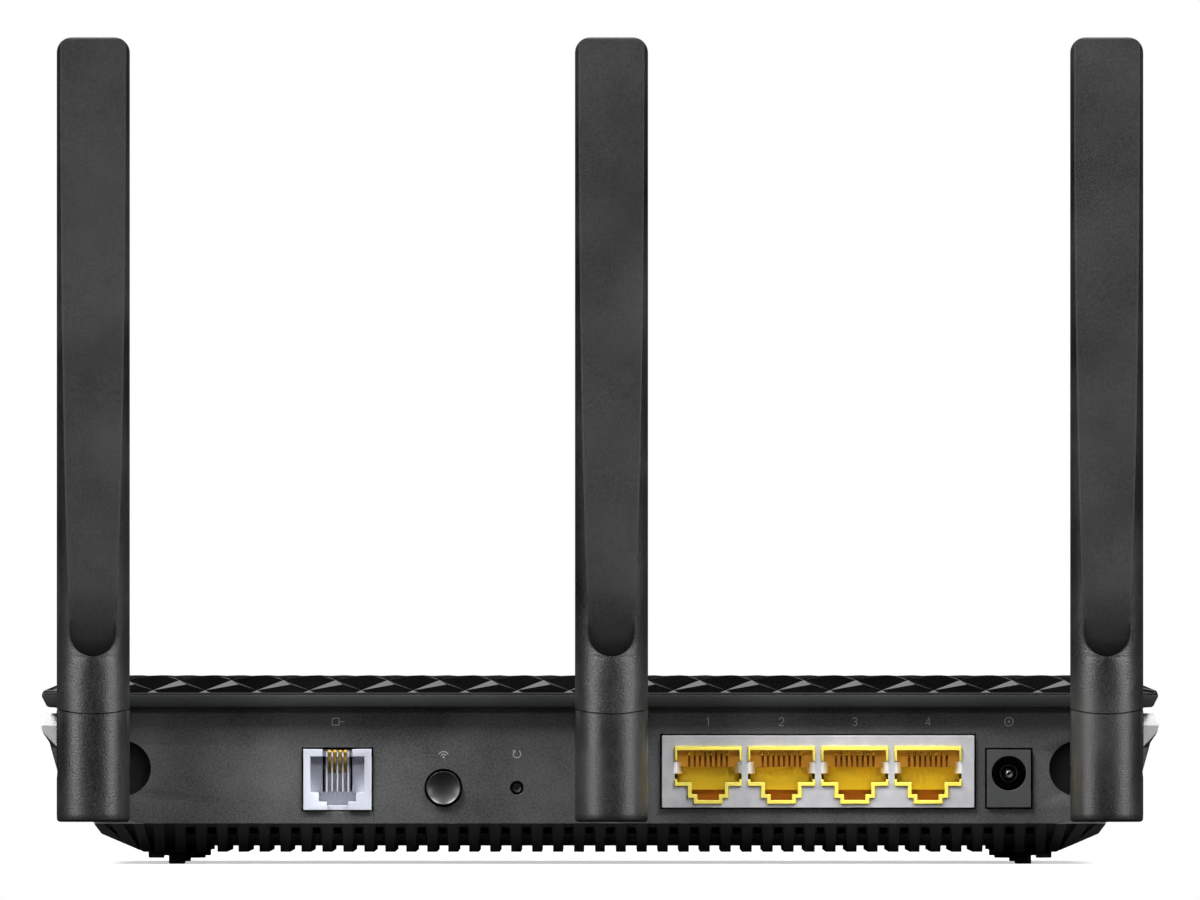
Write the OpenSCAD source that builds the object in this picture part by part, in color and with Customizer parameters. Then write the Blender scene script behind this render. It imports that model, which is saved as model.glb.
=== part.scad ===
// Desktop wireless router with three fold-and-swivel antennas.
// Millimetres. The sockets face -Y, +X is to the right seen from the sockets, +Z is up.
// The origin lies on the table, under the middle of the whole router.

/* [Body] */
// Width across the tips of the side trim
body_w = 213; // [205:1:225]
// Depth of the top cover from its front edge to its rear edge
body_d = 162; // [156:1:180]
// Height of the cover's flat top above the table
body_h = 36; // [35:0.5:40]
// Wall thickness of the moulded shells
wall_t = 2; // [1.8:0.1:2.4]
// How far the cover's rear edge stands out over the rear panel
cover_over = 2; // [1.8:0.1:2.6]
// Height of the cover's edge from its underside to the flat top
cover_h = 6.2; // [5.8:0.1:7]
// Width of the sloping border round the cover's flat top
cover_border = 11; // [8:0.5:16]
// Shadow gap between the cover's edge and the side trim
shadow_gap = 1.1; // [0.8:0.1:1.6]
// Height of the side trim
trim_h = 6.5; // [5:0.1:7]
// How far the side trim stands out from the case wall
trim_out = 3.1; // [2.6:0.1:3.4]

/* [Base] */
// Height of the rib tips above the table
rib_z = 2.3; // [2:0.1:2.8]
// Depth of the grooves between the ribs
rib_depth = 1.2; // [0.8:0.1:1.4]
// Distance from rib to rib
rib_pitch = 4; // [3.6:0.1:6]
// Width of one rib
rib_w = 1.9; // [1.4:0.1:2.2]
// Height of the rear panel's lower edge above the table
sill_z = 7.7; // [7.5:0.1:8.4]
// Width of the slope between the rear panel and the flat underside
rear_slope = 10; // [9:0.5:14]
// Width of one air slot in the rear slope
vent_w = 1.5; // [0.8:0.1:1.8]
// Radius of a rubber foot's flange
foot_r = 5.5; // [4.8:0.1:5.7]
// Width of one of a foot's three treads
tread_w = 3.1; // [2.4:0.1:3.4]
// Distance of the feet from the sides of the router
foot_in = 25.7; // [25.7:0.1:29]

/* [Circuit board] */
// Height of the posts that carry the board
post_h = 3.7; // [3.3:0.1:4.4]
// Thickness of the board
board_t = 1.6; // [1.2:0.1:2]
// Distance of the board's edges from the sides of the router
board_in = 19; // [18:0.5:21]
// Side of the square processor package
processor_w = 23; // [17:1:27]
// Side of the square heat sink
sink_w = 42; // [36:1:44]
// Height of the heat sink
sink_h = 10; // [6:0.5:12]
// Number of indicator lamps along the front
lamps = 8; // [4:1:10]
// Distance from lamp to lamp
lamp_pitch = 8; // [6:0.5:9]

/* [Network sockets] */
// Gap between the network sockets' shell and the power socket
lan_gap = 2.4; // [2:0.1:3.6]
// Number of network sockets
lan_ports = 4; // [2:1:4]
// Distance from socket to socket
lan_pitch = 13.97; // [13.6:0.01:14.1]
// Width of the metal shell beyond the outer sockets' middles
lan_margin = 8.8; // [7.5:0.1:9]
// Height of the metal shell above the board
lan_h = 13.7; // [13:0.1:14]
// Depth of the socket block
lan_d = 21.2; // [19:0.1:22]
// Width of a network plug's opening
lan_open_w = 11.9; // [11.7:0.1:12.2]
// Thickness of the sheet metal shell
shell_t = 0.4; // [0.2:0.1:0.5]

/* [Line socket] */
// Distance from the pairing button to the line socket's middle
line_out = 20.2; // [18:0.1:22]
// Width of the line socket
line_w = 13; // [12.6:0.1:13.6]
// Height of the line socket above the board
line_h = 11.1; // [10.8:0.1:12]
// Depth of the line socket
line_d = 17; // [16:0.1:18.5]
// Width of the line plug's opening
line_open_w = 10.3; // [10:0.1:10.6]

/* [Power socket] */
// Distance of the power socket's middle from the right side of the router
power_in = 28.6; // [28.2:0.1:29.6]
// Width of the power socket
power_w = 8.4; // [8:0.1:9]
// Height of the power socket above the board
power_h = 11; // [10:0.1:11.4]
// Depth of the power socket
power_d = 13.7; // [12.5:0.1:14]
// Radius of the power plug's hole
power_hole_r = 3.3; // [2.8:0.05:3.4]
// Radius of the centre pin
power_pin_r = 1.05; // [0.8:0.05:1.25]

/* [Buttons] */
// Distance from the reset hole to the pairing button
pair_out = 14; // [13:0.1:16]
// Radius of the pairing button's cap
pair_r = 3.2; // [2.6:0.1:3.4]
// Gap round the pairing button's cap
pair_gap = 0.42; // [0.3:0.01:0.5]
// Distance from the middle antenna to the reset hole
reset_out = 18; // [16:0.1:20]
// Radius of the reset hole
reset_r = 1.3; // [1:0.05:1.6]
// Height of both buttons above the board
button_up = 3.7; // [3.6:0.1:4.4]
// Travel of both buttons
button_travel = 0.6; // [0.3:0.1:0.8]

/* [Antennas] */
// Height of the antennas' tops above the table
antenna_top = 157.3; // [130:0.5:190]
// Outer radius of an antenna
antenna_r = 6.95; // [6.6:0.05:7.4]
// Distance of the side antennas' middles from the sides of the router
antenna_in = 10.1; // [10:0.1:11]
// Distance from the network sockets' shell to the middle antenna's middle
middle_out = 9.6; // [9:0.1:11]
// Height of the fold pins above the table
pivot_z = 17.7; // [17:0.1:18.4]
// Distance of the fold pins behind the rear panel
pivot_back = 11.2; // [11.2:0.1:13]
// Height of the sleeves' lower ends above the table
sleeve_z = 8.1; // [8.1:0.1:9]
// Height of the joint between sleeve and blade above the table
seam_z = 28.5; // [28:0.1:30]
// Radius of the rounded corners at the antennas' tops
tip_r = 2.9; // [1:0.1:5]
// Distance of the blade's flat face from the antenna's axis, at the top
face_top = 3.3; // [2.8:0.05:3.8]
// Distance of the blade's flat face from the antenna's axis, at its lower end
face_low = 5.24; // [4.6:0.02:5.6]
// Radius of a fold pin
pin_r = 1.25; // [1:0.05:1.5]
// Half the width of the neck's eye
eye_half = 2.8; // [2.4:0.1:3]
// Radius of the neck's eye round the fold pin
eye_r = 5; // [4.6:0.1:5.1]
// Radius of the neck's stem
stem_r = 2.75; // [2.5:0.05:2.8]

/* [Clearances] */
// Gap between pieces that move past each other
move_gap = 0.3; // [0.25:0.01:0.36]
// Radial running clearance of pins and stems
run_gap = 0.05; // [0.02:0.01:0.1]
// Gap between a socket and its opening in the rear panel
socket_gap = 0.3; // [0.1:0.05:0.35]

/* [Hidden] */
$fn = 48;
over = 1;

// Slack round pieces that are set into one another, and under the side trim
slack = 0.1;
seat_slack = 0.02;

// Places along Y: the whole router, antennas included, is centred on the origin.
half_w = body_w / 2;
front_y = (body_d - cover_over + pivot_back + antenna_r) / 2;
rear_y = front_y - body_d;
panel_y = rear_y + cover_over;
panel_in_y = panel_y + wall_t;
pivot_y = panel_y - pivot_back;

// Heights
cover_z = body_h - cover_h;
trim_z = cover_z - shadow_gap;
seat_z = trim_z - trim_h;
lip_up = 2.9;
tip_up = 4.2;
floor_z = rib_z + rib_depth + wall_t;
board_z = floor_z + post_h;
board_top = board_z + board_t;
button_z = board_top + button_up;

// Outline of the case's sides, as distances in from the trim's tips
flat_in = 19.5;
toe_in = 11.5;
toe_z = rib_z + 3.5;
knee_in = 9.9;
knee_z = sill_z + 0.3;
belly_in = 3.2;
belly_z = 17.5;
brow_in = 1.6;
brow_z = seat_z + 1;
lip_in = 0.3;
inner_in = trim_out + wall_t;
shelf_in = 15.5;
border_in = 3.4;
border_drop = 1.7;

// Socket places, set out from the right side
socket_y = panel_y - 0.5;
power_x = half_w - power_in;
lan_w = (lan_ports - 1) * lan_pitch + 2 * lan_margin;
lan_x = power_x - power_w / 2 - lan_gap - lan_w / 2;
lan_places = [for (i = [0 : lan_ports - 1]) lan_x + (i - (lan_ports - 1) / 2) * lan_pitch];
middle_x = lan_x - lan_w / 2 - middle_out;
reset_x = middle_x - reset_out;
pair_x = reset_x - pair_out;
line_x = pair_x - line_out;
lan_port_d = 15;
lan_port_top = 10.9;
lan_shoulder_z = 4.8;
lan_step_w = 6.3;
lan_step_z = 2.5;
lan_key_w = 4.1;
lan_key_z = 1.4;
lip_side = 0.4;
lip_t = 0.7;
lip_out = 0.3;
line_port_d = 14;
line_port_top = line_h - 1.4;
line_shoulder_z = 2.8;
line_step_w = 7.1;
line_step_z = 1.1;
line_key_w = 4;
line_key_z = 0.4;
line_sill = 0.5;
comb_w = 5.7;
comb_d = 1.6;
contact_pitch = 1.02;
contact_w = 0.4;
contact_t = 0.3;
contact_tilt = 8;
contact_in = 2.5;
lan_contact_len = 11;
line_contact_len = 10.5;
power_hole_z = board_top + 6.5;
power_hole_d = 9.5;

// Feet and case screws
foot_x = half_w - foot_in;
boss_r = 3.4;
foot_rear_y = socket_y + lan_d + boss_r + 1.2;
foot_front_in = 26;
foot_front_y = front_y - foot_front_in;
foot_places = [for (x = [-foot_x, foot_x], y = [foot_rear_y, foot_front_y]) [x, y]];
flange_z = rib_z - 0.4;
side_tread_z = 1.1;
foot_seat_z = rib_z + 1.1;
foot_pad = 0.7;
boss_top = board_top + 3.2;
screw_r = 1.3;
screw_head_r = 2.6;
screw_head_h = 1.8;
screw_grip = 7.8;

// Board outline and its screws
lamp_room = 12;
guide_z = seat_z + 3.6;
guide_t = 1.8;
board_y0 = panel_in_y + 1.3;
board_y1 = front_y - shelf_in - 2;
board_half = half_w - board_in;
post_side = 13.5;
post_rear = 52;
post_front = 17;
post_places = [for (x = [-1, 1], y = [board_y0 + post_rear, board_y1 - post_front])
    [x * (board_half - post_side), y]];
post_r = 3;
board_screw_r = 1.25;
board_screw_head_r = 2.6;
board_screw_head_h = 1.6;
screw_room = 0.6;

// Parts on the board: sizes, then middles counted from the board's rear edge
sockets_back = socket_y + lan_d - board_y0;
part_gap = 3.5;
transformer_w = 24;
transformer_d = 12;
transformer_h = 6;
transformer_y = sockets_back + part_gap + transformer_d / 2;
line_transformer_w = 13;
line_transformer_h = 10;
inductor_w = 10;
inductor_h = 5;
inductor_out = 14;
inductor_y = transformer_y + transformer_d / 2 + part_gap + inductor_w / 2;
capacitor_r = 3.15;
capacitor_h = 10;
capacitor_step = 2 * capacitor_r + 2;
capacitor_x = line_x + line_transformer_w / 2 + part_gap + capacitor_r;
capacitor_y = foot_rear_y - board_y0 + boss_r + part_gap + capacitor_r;
capacitor_places = [
    [power_x, capacitor_y], [power_x, capacitor_y + capacitor_step],
    [capacitor_x, transformer_y], [capacitor_x + capacitor_step, transformer_y]];
processor_h = 1.5;
pad_h = 0.5;
processor_x = lan_x - lan_w / 2;
processor_y = transformer_y + transformer_d / 2 + part_gap + sink_w / 2;
memory_w = 12;
memory_d = 9;
memory_h = 1.1;
memory_x = processor_x + sink_w / 2 + part_gap + memory_w / 2;
shield_w = 34;
shield_d = 28;
shield_h = 3.2;
radio_w = 9;
radio_h = 0.9;
radio_side = 42;
lead_room = 8;
radio_places = [
    [processor_x - sink_w / 2 - part_gap - lead_room - shield_w / 2, processor_y],
    [board_half - radio_side, board_y1 - board_y0 - part_gap - lamp_room - shield_d / 2]];

// Antenna places and the parts of a neck
left_x = -half_w + antenna_in;
right_x = half_w - antenna_in;
shoulder_half = stem_r + 0.65;
slot_half = eye_half + move_gap;
clip_t = 1;
clip_r = 3.9;
clip_in_r = stem_r - 0.55;
clip_y = panel_in_y + move_gap;
stem_end_y = clip_y + clip_t + 0.9;
lead_r = 0.65;
lead_hole_r = 1;
recess_d = wall_t / 2;
recess_r = 5.2;
recess_out = 5.6;
seam_r = 28;
sleeve_round = 1.6;
spigot_r = 5;
spigot_h = 3.5;
radiator_w = 9;
radiator_t = 0.8;
radiator_in = 7;
radiator_up = 11.5;
radiator_z = seam_z + radiator_up;
radiator_top = antenna_top - radiator_in;
radiator_gap = 0.2;
u_r = sqrt(pow(antenna_r, 2) - pow(face_low, 2)) + 0.1;
u_up = 15.6;
u_z = seam_z + u_up;
flat_up = 8.5;
face_flat_z = u_z + flat_up;

lead_socket_r = 1.25;
lead_socket_h = 1.2;
lead_socket_out = shield_w / 2 + 6;
socket_places = [
    [radio_places[0][0] - lead_socket_out, radio_places[0][1], left_x],
    [radio_places[0][0] + lead_socket_out, radio_places[0][1] - 10, middle_x],
    [radio_places[1][0] + lead_socket_out, radio_places[1][1], right_x]];

// ---- Shared shapes ----

// Extrudes an X-Z outline along Y
module along_y(y0, y1) {
    translate([0, y1, 0]) rotate([90, 0, 0]) linear_extrude(y1 - y0) children();
}

// Extrudes a Y-Z outline along X
module along_x(x0, x1) {
    translate([x0, 0, 0]) rotate([90, 0, 90]) linear_extrude(x1 - x0) children();
}

// Cylinder along Y
module rod_y(r, y0, y1) {
    translate([0, y0, 0]) rotate([-90, 0, 0]) cylinder(h = y1 - y0, r = r);
}

// Cylinder along X, centred
module rod_x(r, length) {
    rotate([0, 90, 0]) cylinder(h = length, r = r, center = true);
}

// Box from its middle in X and Y, standing on z = 0
module slab(x, y, z) {
    translate([-x / 2, -y / 2, 0]) cube([x, y, z]);
}

// Puts a piece on the board; y counts from the board's rear edge
module on_board(x, y) {
    translate([x, board_y0 + y, board_top]) children();
}

function mirrored(points) = concat(
    points, [for (i = [len(points) - 1 : -1 : 0]) [-points[i][0], points[i][1]]]);

// A shell's block: the side outline both ways across X and at the front,
// and its own outline at the rear
module block(side, front, rear) {
    intersection() {
        along_y(-body_d, body_d) polygon(mirrored(side));
        along_x(-body_w, body_w) polygon(concat(front, rear));
    }
}

// ---- Case ----

// Side outline of the case up to the trim's lip; d is the depth below the rib tips
function case_side(w, d) = [
    [w - flat_in - d / 2, rib_z + d], [w - toe_in - d, toe_z + d], [w - knee_in, knee_z],
    [w - belly_in, belly_z], [w - brow_in, brow_z], [w - lip_in, seat_z + lip_up]];

function case_rear(d) = [
    [panel_y, seat_z + lip_up], [panel_y, sill_z], [panel_y + d, sill_z],
    [panel_y + rear_slope + d / 2, rib_z + d]];

function cavity_side(w) = [
    [w - shelf_in - 9, floor_z], [w - shelf_in, board_z], [w - inner_in, belly_z + 2.5],
    [w - inner_in, cover_z + over]];

function trim_side(w) = [
    [w - trim_out, seat_z], [w - lip_in, seat_z + lip_up], [w, seat_z + tip_up],
    [w - 0.9, trim_z]];

module case_block(d) {
    block(case_side(half_w, d), case_side(front_y, d), case_rear(d));
}

module trim_block() {
    rear_face = [[panel_y, trim_z], [panel_y, seat_z]];
    block(trim_side(half_w), trim_side(front_y), rear_face);
}

// Upright wall inside the trim, up to the cover; gap is its slack towards the trim
module wall_block(y0, gap) {
    wall_x = half_w - trim_out - gap;
    translate([-wall_x, y0, seat_z - over])
        cube([2 * wall_x, front_y - trim_out - gap - y0, cover_z - seat_z + over]);
}

module case_cavity() {
    rear_face = [
        [panel_in_y - over, cover_z + over], [panel_in_y - over, sill_z],
        [panel_in_y + wall_t + 0.6, sill_z],
        [panel_in_y + wall_t + 0.6 + (sill_z - floor_z) * 1.7, floor_z]];
    block(cavity_side(half_w), cavity_side(front_y), rear_face);
}

// Distance out at height z on the line from point a to point b
function out_at(a, b, z) = a[0] + (b[0] - a[0]) * (z - a[1]) / (b[1] - a[1]);

// Lower edge of the rear panel: flat in the middle, rising at the corners
corner_rise = 2.7;
corner_z = sill_z + corner_rise;
case_line = case_side(half_w, 0);
panel_edge = [
    [half_w - flat_in - 0.2, sill_z], [out_at(case_line[2], case_line[3], corner_z), corner_z]];

module panel_outline() {
    wall_x = half_w - trim_out;
    brow_x = out_at(case_line[3], case_line[4], seat_z);
    polygon(mirrored(concat(panel_edge, [
        [half_w - belly_in, belly_z], [brow_x, seat_z], [wall_x, seat_z], [wall_x, cover_z]])));
}

// Room that the case leaves for the rear panel
module panel_room() {
    polygon(mirrored(concat(panel_edge, [
        [half_w + over, corner_z], [half_w + over, cover_z + over]])));
}

ribs = floor((half_w - knee_in) / rib_pitch);
function rib_x(i) = i * rib_pitch;

// The last ribs at each corner lean, so that they run round it
module rib_slabs() {
    leaning = 3;
    lean_step = 16;
    for (i = [-ribs : ribs]) {
        lean = sign(i) * max(0, abs(i) - ribs + leaning) * lean_step;
        translate([rib_x(i), -body_d, sill_z]) rotate([0, lean, 0])
            translate([-rib_w / 2, 0, -body_h]) cube([rib_w, 2 * body_d, body_h + knee_z - sill_z]);
    }
}

module vents() {
    vents_each_way = floor((half_w - flat_in) / rib_pitch) - 1;
    slot_h = 1.2;
    for (i = [-vents_each_way : vents_each_way])
        translate([rib_x(i + 0.5) - vent_w / 2, panel_y - over, sill_z - 0.7 - slot_h])
            cube([vent_w, 3 * wall_t + 4, slot_h]);
}

module at_feet() {
    for (p = foot_places) translate([p[0], p[1], 0]) children();
}

module at_posts() {
    for (p = post_places) translate([p[0], p[1], 0]) children();
}

module guide_slot(gap) {
    guide_w = (lamps - 1) * lamp_pitch + 4;
    guide_back = 4;
    translate([-guide_w / 2 - gap, board_y1 - guide_back, guide_z - gap])
        cube([guide_w + 2 * gap, front_y - board_y1 + guide_back - 0.9, guide_t + 2 * gap]);
}

module bottom_case() color("#202124") difference() {
    union() {
        difference() {
            union() {
                case_block(rib_depth);
                intersection() {
                    case_block(0);
                    rib_slabs();
                }
            }
            translate([0, 0, -seat_slack]) trim_block();
        }
        wall_block(panel_in_y, seat_slack);
        at_feet() translate([0, 0, rib_z]) cylinder(h = wall_t, r = foot_r + foot_pad);
    }
    difference() {
        union() {
            case_cavity();
            for (x = [left_x, right_x])
                translate([x, 0, pivot_z]) rod_y(clip_r + 0.4, panel_y, stem_end_y + 2);
        }
        at_feet() cylinder(h = boss_top, r = boss_r);
        at_posts() cylinder(h = board_z, r = post_r);
    }
    along_y(panel_y - over, panel_in_y) panel_room();
    vents();
    guide_slot(slack);
    at_feet() {
        translate([0, 0, rib_z - over]) cylinder(h = foot_seat_z - rib_z + over, r = foot_r + slack);
        translate([0, 0, foot_seat_z - over])
            cylinder(h = screw_head_h + over + slack, r = screw_head_r + slack);
        cylinder(h = boss_top + over, r = screw_r + 2 * slack);
    }
    at_posts() translate([0, 0, floor_z + screw_room - 2 * slack])
        cylinder(h = post_h + over, r = board_screw_r);
}

// A round pad with three treads in line with the case's ribs; the middle one is the longest
module rubber_feet() color("#101011") at_feet() {
    translate([0, 0, flange_z]) cylinder(h = foot_seat_z - flange_z, r = foot_r);
    intersection() {
        cylinder(h = foot_seat_z, r = foot_r);
        union() {
            slab(tread_w, 4 * foot_r, flange_z + slack);
            for (way = [-1, 1]) translate([way * (rib_pitch + over), 0, side_tread_z])
                slab(tread_w + 2 * over, 4 * foot_r, flange_z + slack - side_tread_z);
        }
    }
}

module case_screws() color("silver") at_feet() {
    translate([0, 0, foot_seat_z + slack]) cylinder(h = screw_head_h, r = screw_head_r);
    translate([0, 0, foot_seat_z + screw_head_h])
        cylinder(h = boss_top - foot_seat_z - screw_head_h + screw_grip, r = screw_r);
}

module side_trim() color("#c9ccd0") difference() {
    trim_block();
    wall_block(panel_y - over, 0);
    guide_slot(slack);
}

// ---- Cover ----

function cover_side(w) = [
    [w - trim_out - slack, cover_z], [w - 1.3, cover_z + 0.2], [w - 0.1, cover_z + 2.6],
    [w - 0.3, cover_z + 3.2], [w - border_in, body_h - border_drop],
    [w - border_in - cover_border, body_h]];

function cover_inside(w) = [
    [w - inner_in, cover_z - over], [w - inner_in, body_h - wall_t - border_drop],
    [w - border_in - cover_border, body_h - wall_t]];

module top_cover() color("#17181a") {
    difference() {
        block(cover_side(half_w), cover_side(front_y), [
            [rear_y + cover_border, body_h], [rear_y, cover_z + 2.8], [rear_y, cover_z]]);
        block(cover_inside(half_w), cover_inside(front_y), [
            [panel_y + cover_border, body_h - wall_t], [panel_y, cover_z + wall_t],
            [panel_y, cover_z - over]]);
    }
    at_feet() difference() {
        translate([0, 0, boss_top + slack])
            cylinder(h = body_h - wall_t / 2 - boss_top, r = boss_r - 2 * slack);
        cylinder(h = boss_top + screw_grip + 2, r = screw_r);
    }
}

// ---- Rear panel ----

module socket_hole(x, w, z0, h) {
    translate([x - w / 2 - socket_gap, panel_y - over, z0 - socket_gap])
        cube([w + 2 * socket_gap, wall_t + 2 * over, h + 2 * socket_gap]);
}

// Shallow hollow beside a side antenna's base; out is +1 or -1, towards the side
module base_hollow(x, out) {
    translate([x, 0, pivot_z + 0.5]) {
        rod_y(recess_r, panel_y - over, panel_y + recess_d);
        translate([-out * recess_out, 0, 0]) rod_y(recess_r, panel_y - over, panel_y + recess_d);
        translate([min(0, -out * recess_out), panel_y - over, -recess_r])
            cube([recess_out, recess_d + over, 2 * recess_r]);
    }
}

module rear_panel() color("#2b2c2e") difference() {
    union() {
        along_y(panel_y, panel_in_y) panel_outline();
        tongue_x = half_w - inner_in - 0.2;
        translate([-tongue_x, panel_y, cover_z - over])
            cube([2 * tongue_x, wall_t, over + wall_t - 0.2]);
    }
    socket_hole(lan_x, lan_w, board_top, lan_h);
    socket_hole(line_x, line_w, board_top - line_sill, line_h + line_sill);
    socket_hole(power_x, power_w, board_top, power_h);
    translate([pair_x, 0, button_z]) rod_y(pair_r + pair_gap, panel_y - over, panel_in_y + over);
    translate([reset_x, 0, button_z]) rod_y(reset_r, panel_y - over, panel_in_y + over);
    for (x = [left_x, middle_x, right_x])
        translate([x, 0, pivot_z]) rod_y(stem_r + run_gap, panel_y - over, panel_in_y + over);
    base_hollow(left_x, -1);
    base_hollow(right_x, 1);
}

// ---- Board and what stands on it ----

module main_board() color("#1f5a3c") difference() {
    translate([-board_half, board_y0, board_z]) cube([2 * board_half, board_y1 - board_y0, board_t]);
    at_feet() cylinder(h = body_h, r = boss_r + 0.5);
    at_posts() cylinder(h = body_h, r = board_screw_r + slack);
}

module board_screws() color("silver") at_posts() {
    translate([0, 0, board_top]) cylinder(h = board_screw_head_h, r = board_screw_head_r);
    translate([0, 0, floor_z + screw_room]) cylinder(h = board_top - floor_z, r = board_screw_r);
}

module processor() color("#18191b")
    on_board(processor_x, processor_y) slab(processor_w, processor_w, processor_h);

module thermal_pad() color("#9fb2c4") on_board(processor_x, processor_y)
    translate([0, 0, processor_h]) slab(processor_w - 3, processor_w - 3, pad_h);

module heat_sink() color("#a8abae") on_board(processor_x, processor_y)
    translate([0, 0, processor_h + pad_h]) {
        fins = 9;
        fin_t = 1.2;
        plate_h = 2;
        slab(sink_w, sink_w, plate_h);
        for (i = [0 : fins - 1])
            translate([-sink_w / 2 + i * (sink_w - fin_t) / (fins - 1), -sink_w / 2, 0])
                cube([fin_t, sink_w, sink_h]);
    }

module memory_chips() color("#18191b") for (side = [-1, 1])
    on_board(memory_x, processor_y + side * (memory_d + part_gap) / 2)
        slab(memory_w, memory_d, memory_h);

module radio_chips() color("#18191b") for (p = radio_places)
    on_board(p[0], p[1]) slab(radio_w, radio_w, radio_h);

module radio_shields() color("silver") for (p = radio_places) on_board(p[0], p[1]) difference() {
    sheet = 0.3;
    slab(shield_w, shield_d, shield_h);
    translate([0, 0, -sheet]) slab(shield_w - 2 * sheet, shield_d - 2 * sheet, shield_h);
}

module network_transformers() color("#141414") for (side = [-1, 1])
    on_board(lan_x + side * (transformer_w + part_gap) / 2, transformer_y)
        slab(transformer_w, transformer_d, transformer_h);

module line_transformer() color("#c8b23c")
    on_board(line_x, transformer_y) slab(line_transformer_w, line_transformer_w, line_transformer_h);

module capacitors() color("#2a3560") for (p = capacitor_places)
    on_board(p[0], p[1]) cylinder(h = capacitor_h, r = capacitor_r);

module power_inductors() color("#3a3a3c") for (x = [inductor_out, inductor_out + inductor_w + 2])
    on_board(lan_x + x, inductor_y) slab(inductor_w, inductor_w, inductor_h);

lamp_y = board_y1 - 1.5;
lamp_h = 1;
function lamp_x(i) = (i - (lamps - 1) / 2) * lamp_pitch;

module indicator_lamps() color("#e9f0d8") for (i = [0 : lamps - 1])
    translate([lamp_x(i), lamp_y, board_top]) slab(2, 1.2, lamp_h);

module light_guide() color("#dfe6ea") {
    guide_slot(0);
    leg_z = board_top + lamp_h + 0.3;
    for (i = [0 : lamps - 1])
        translate([lamp_x(i), lamp_y, leg_z]) slab(1.6, 1.6, guide_z + 2 * slack - leg_z);
}

module lead_sockets() color("gold")
    for (p = socket_places) on_board(p[0], p[1]) cylinder(h = lead_socket_h, r = lead_socket_r);

// Coaxial lead from a neck's stem to its socket on the board: a curve between two ends,
// drawn by two points that it leans towards
function curve(a, b, c, d, t) =
    pow(1 - t, 3) * a + 3 * t * pow(1 - t, 2) * b + 3 * t * t * (1 - t) * c + pow(t, 3) * d;

function unit(v) = v / norm(v);

lead_sides = 8;
lead_rings = 16;

module lead(a, b, c, d) {
    path = [for (i = [0 : lead_rings]) curve(a, b, c, d, i / lead_rings)];
    ahead = [for (i = [0 : lead_rings])
        unit(path[min(i + 1, lead_rings)] - path[max(i - 1, 0)])];
    ring_points = [for (i = [0 : lead_rings]) let (
            side = unit(cross(ahead[i], [0, 0, 1])), up = cross(side, ahead[i]))
        for (k = [0 : lead_sides - 1]) let (turn = 360 * k / lead_sides)
            path[i] + lead_r * (cos(turn) * side + sin(turn) * up)];
    walls = [for (i = [0 : lead_rings - 1], k = [0 : lead_sides - 1]) let (
            here = i * lead_sides, next = here + lead_sides, k1 = (k + 1) % lead_sides)
        each [[here + k, here + k1, next + k1], [here + k, next + k1, next + k]]];
    first = [for (k = [lead_sides - 1 : -1 : 0]) k];
    last = [for (k = [0 : lead_sides - 1]) lead_rings * lead_sides + k];
    polyhedron(ring_points, concat(walls, [first, last]));
}

module antenna_leads() color("#3c3d40") for (p = socket_places) {
    way = p[0] > p[2] ? 1 : -1;
    lead([p[2], stem_end_y - 2, pivot_z], [p[2], stem_end_y + 10, pivot_z],
         [p[2] + way * 8, board_y0 + sockets_back + part_gap, board_top + 4],
         [p[0], board_y0 + p[1], board_top + lead_socket_h + lead_r]);
}

// ---- Sockets ----

// Outline of a plug's opening: wide part, step and the notch for the plug's latch
module plug_outline(w, top, shoulder, step_w, step_z, key_w, key_z) {
    half = [[key_w / 2, key_z], [key_w / 2, step_z], [step_w / 2, step_z],
            [step_w / 2, shoulder], [w / 2, shoulder], [w / 2, top]];
    polygon(mirrored(half));
}

module lan_port_outline() {
    plug_outline(lan_open_w, lan_port_top, lan_shoulder_z, lan_step_w, lan_step_z,
                 lan_key_w, lan_key_z);
}

// Outline of the lip round an opening; gap is the shell's slack round it
module lan_lip_outline(gap) {
    edge = lip_t + gap;
    plug_outline(lan_open_w + 2 * (lip_side + gap), lan_port_top + edge, lan_shoulder_z - edge,
                 lan_step_w + 2 * edge, lan_step_z - edge, lan_key_w + 2 * edge, lan_key_z - edge);
}

module lan_shell() color("#c3c3cc") translate([0, 0, board_top]) difference() {
    translate([lan_x - lan_w / 2, socket_y, 0]) cube([lan_w, lan_d, lan_h]);
    translate([lan_x - lan_w / 2 + shell_t, socket_y + shell_t, -over])
        cube([lan_w - 2 * shell_t, lan_d - 2 * shell_t, lan_h - shell_t + over]);
    for (x = lan_places) translate([x, 0, 0])
        along_y(socket_y - over, socket_y + over) lan_lip_outline(slack / 2);
}

module lan_housing() color("#e0b820") translate([0, 0, board_top]) difference() {
    union() {
        translate([lan_x - lan_w / 2 + shell_t, socket_y + shell_t, 0])
            cube([lan_w - 2 * shell_t, lan_d - 2 * shell_t, lan_h - shell_t]);
        for (x = lan_places) translate([x, 0, 0])
            along_y(socket_y - lip_out, socket_y + over) lan_lip_outline(0);
    }
    for (x = lan_places) translate([x, 0, 0])
        along_y(socket_y - over, socket_y + lan_port_d) lan_port_outline();
}

// Row of spring contacts under the ceiling of an opening
module contact_row(x, count, ceiling, length) {
    for (i = [0 : count - 1])
        translate([x + (i - (count - 1) / 2) * contact_pitch - contact_w / 2, socket_y + contact_in,
                   ceiling - contact_t])
            rotate([-contact_tilt, 0, 0]) cube([contact_w, length, contact_t]);
}

module lan_contacts() color("gold")
    for (x = lan_places) contact_row(x, 8, board_top + lan_port_top, lan_contact_len);

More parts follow.
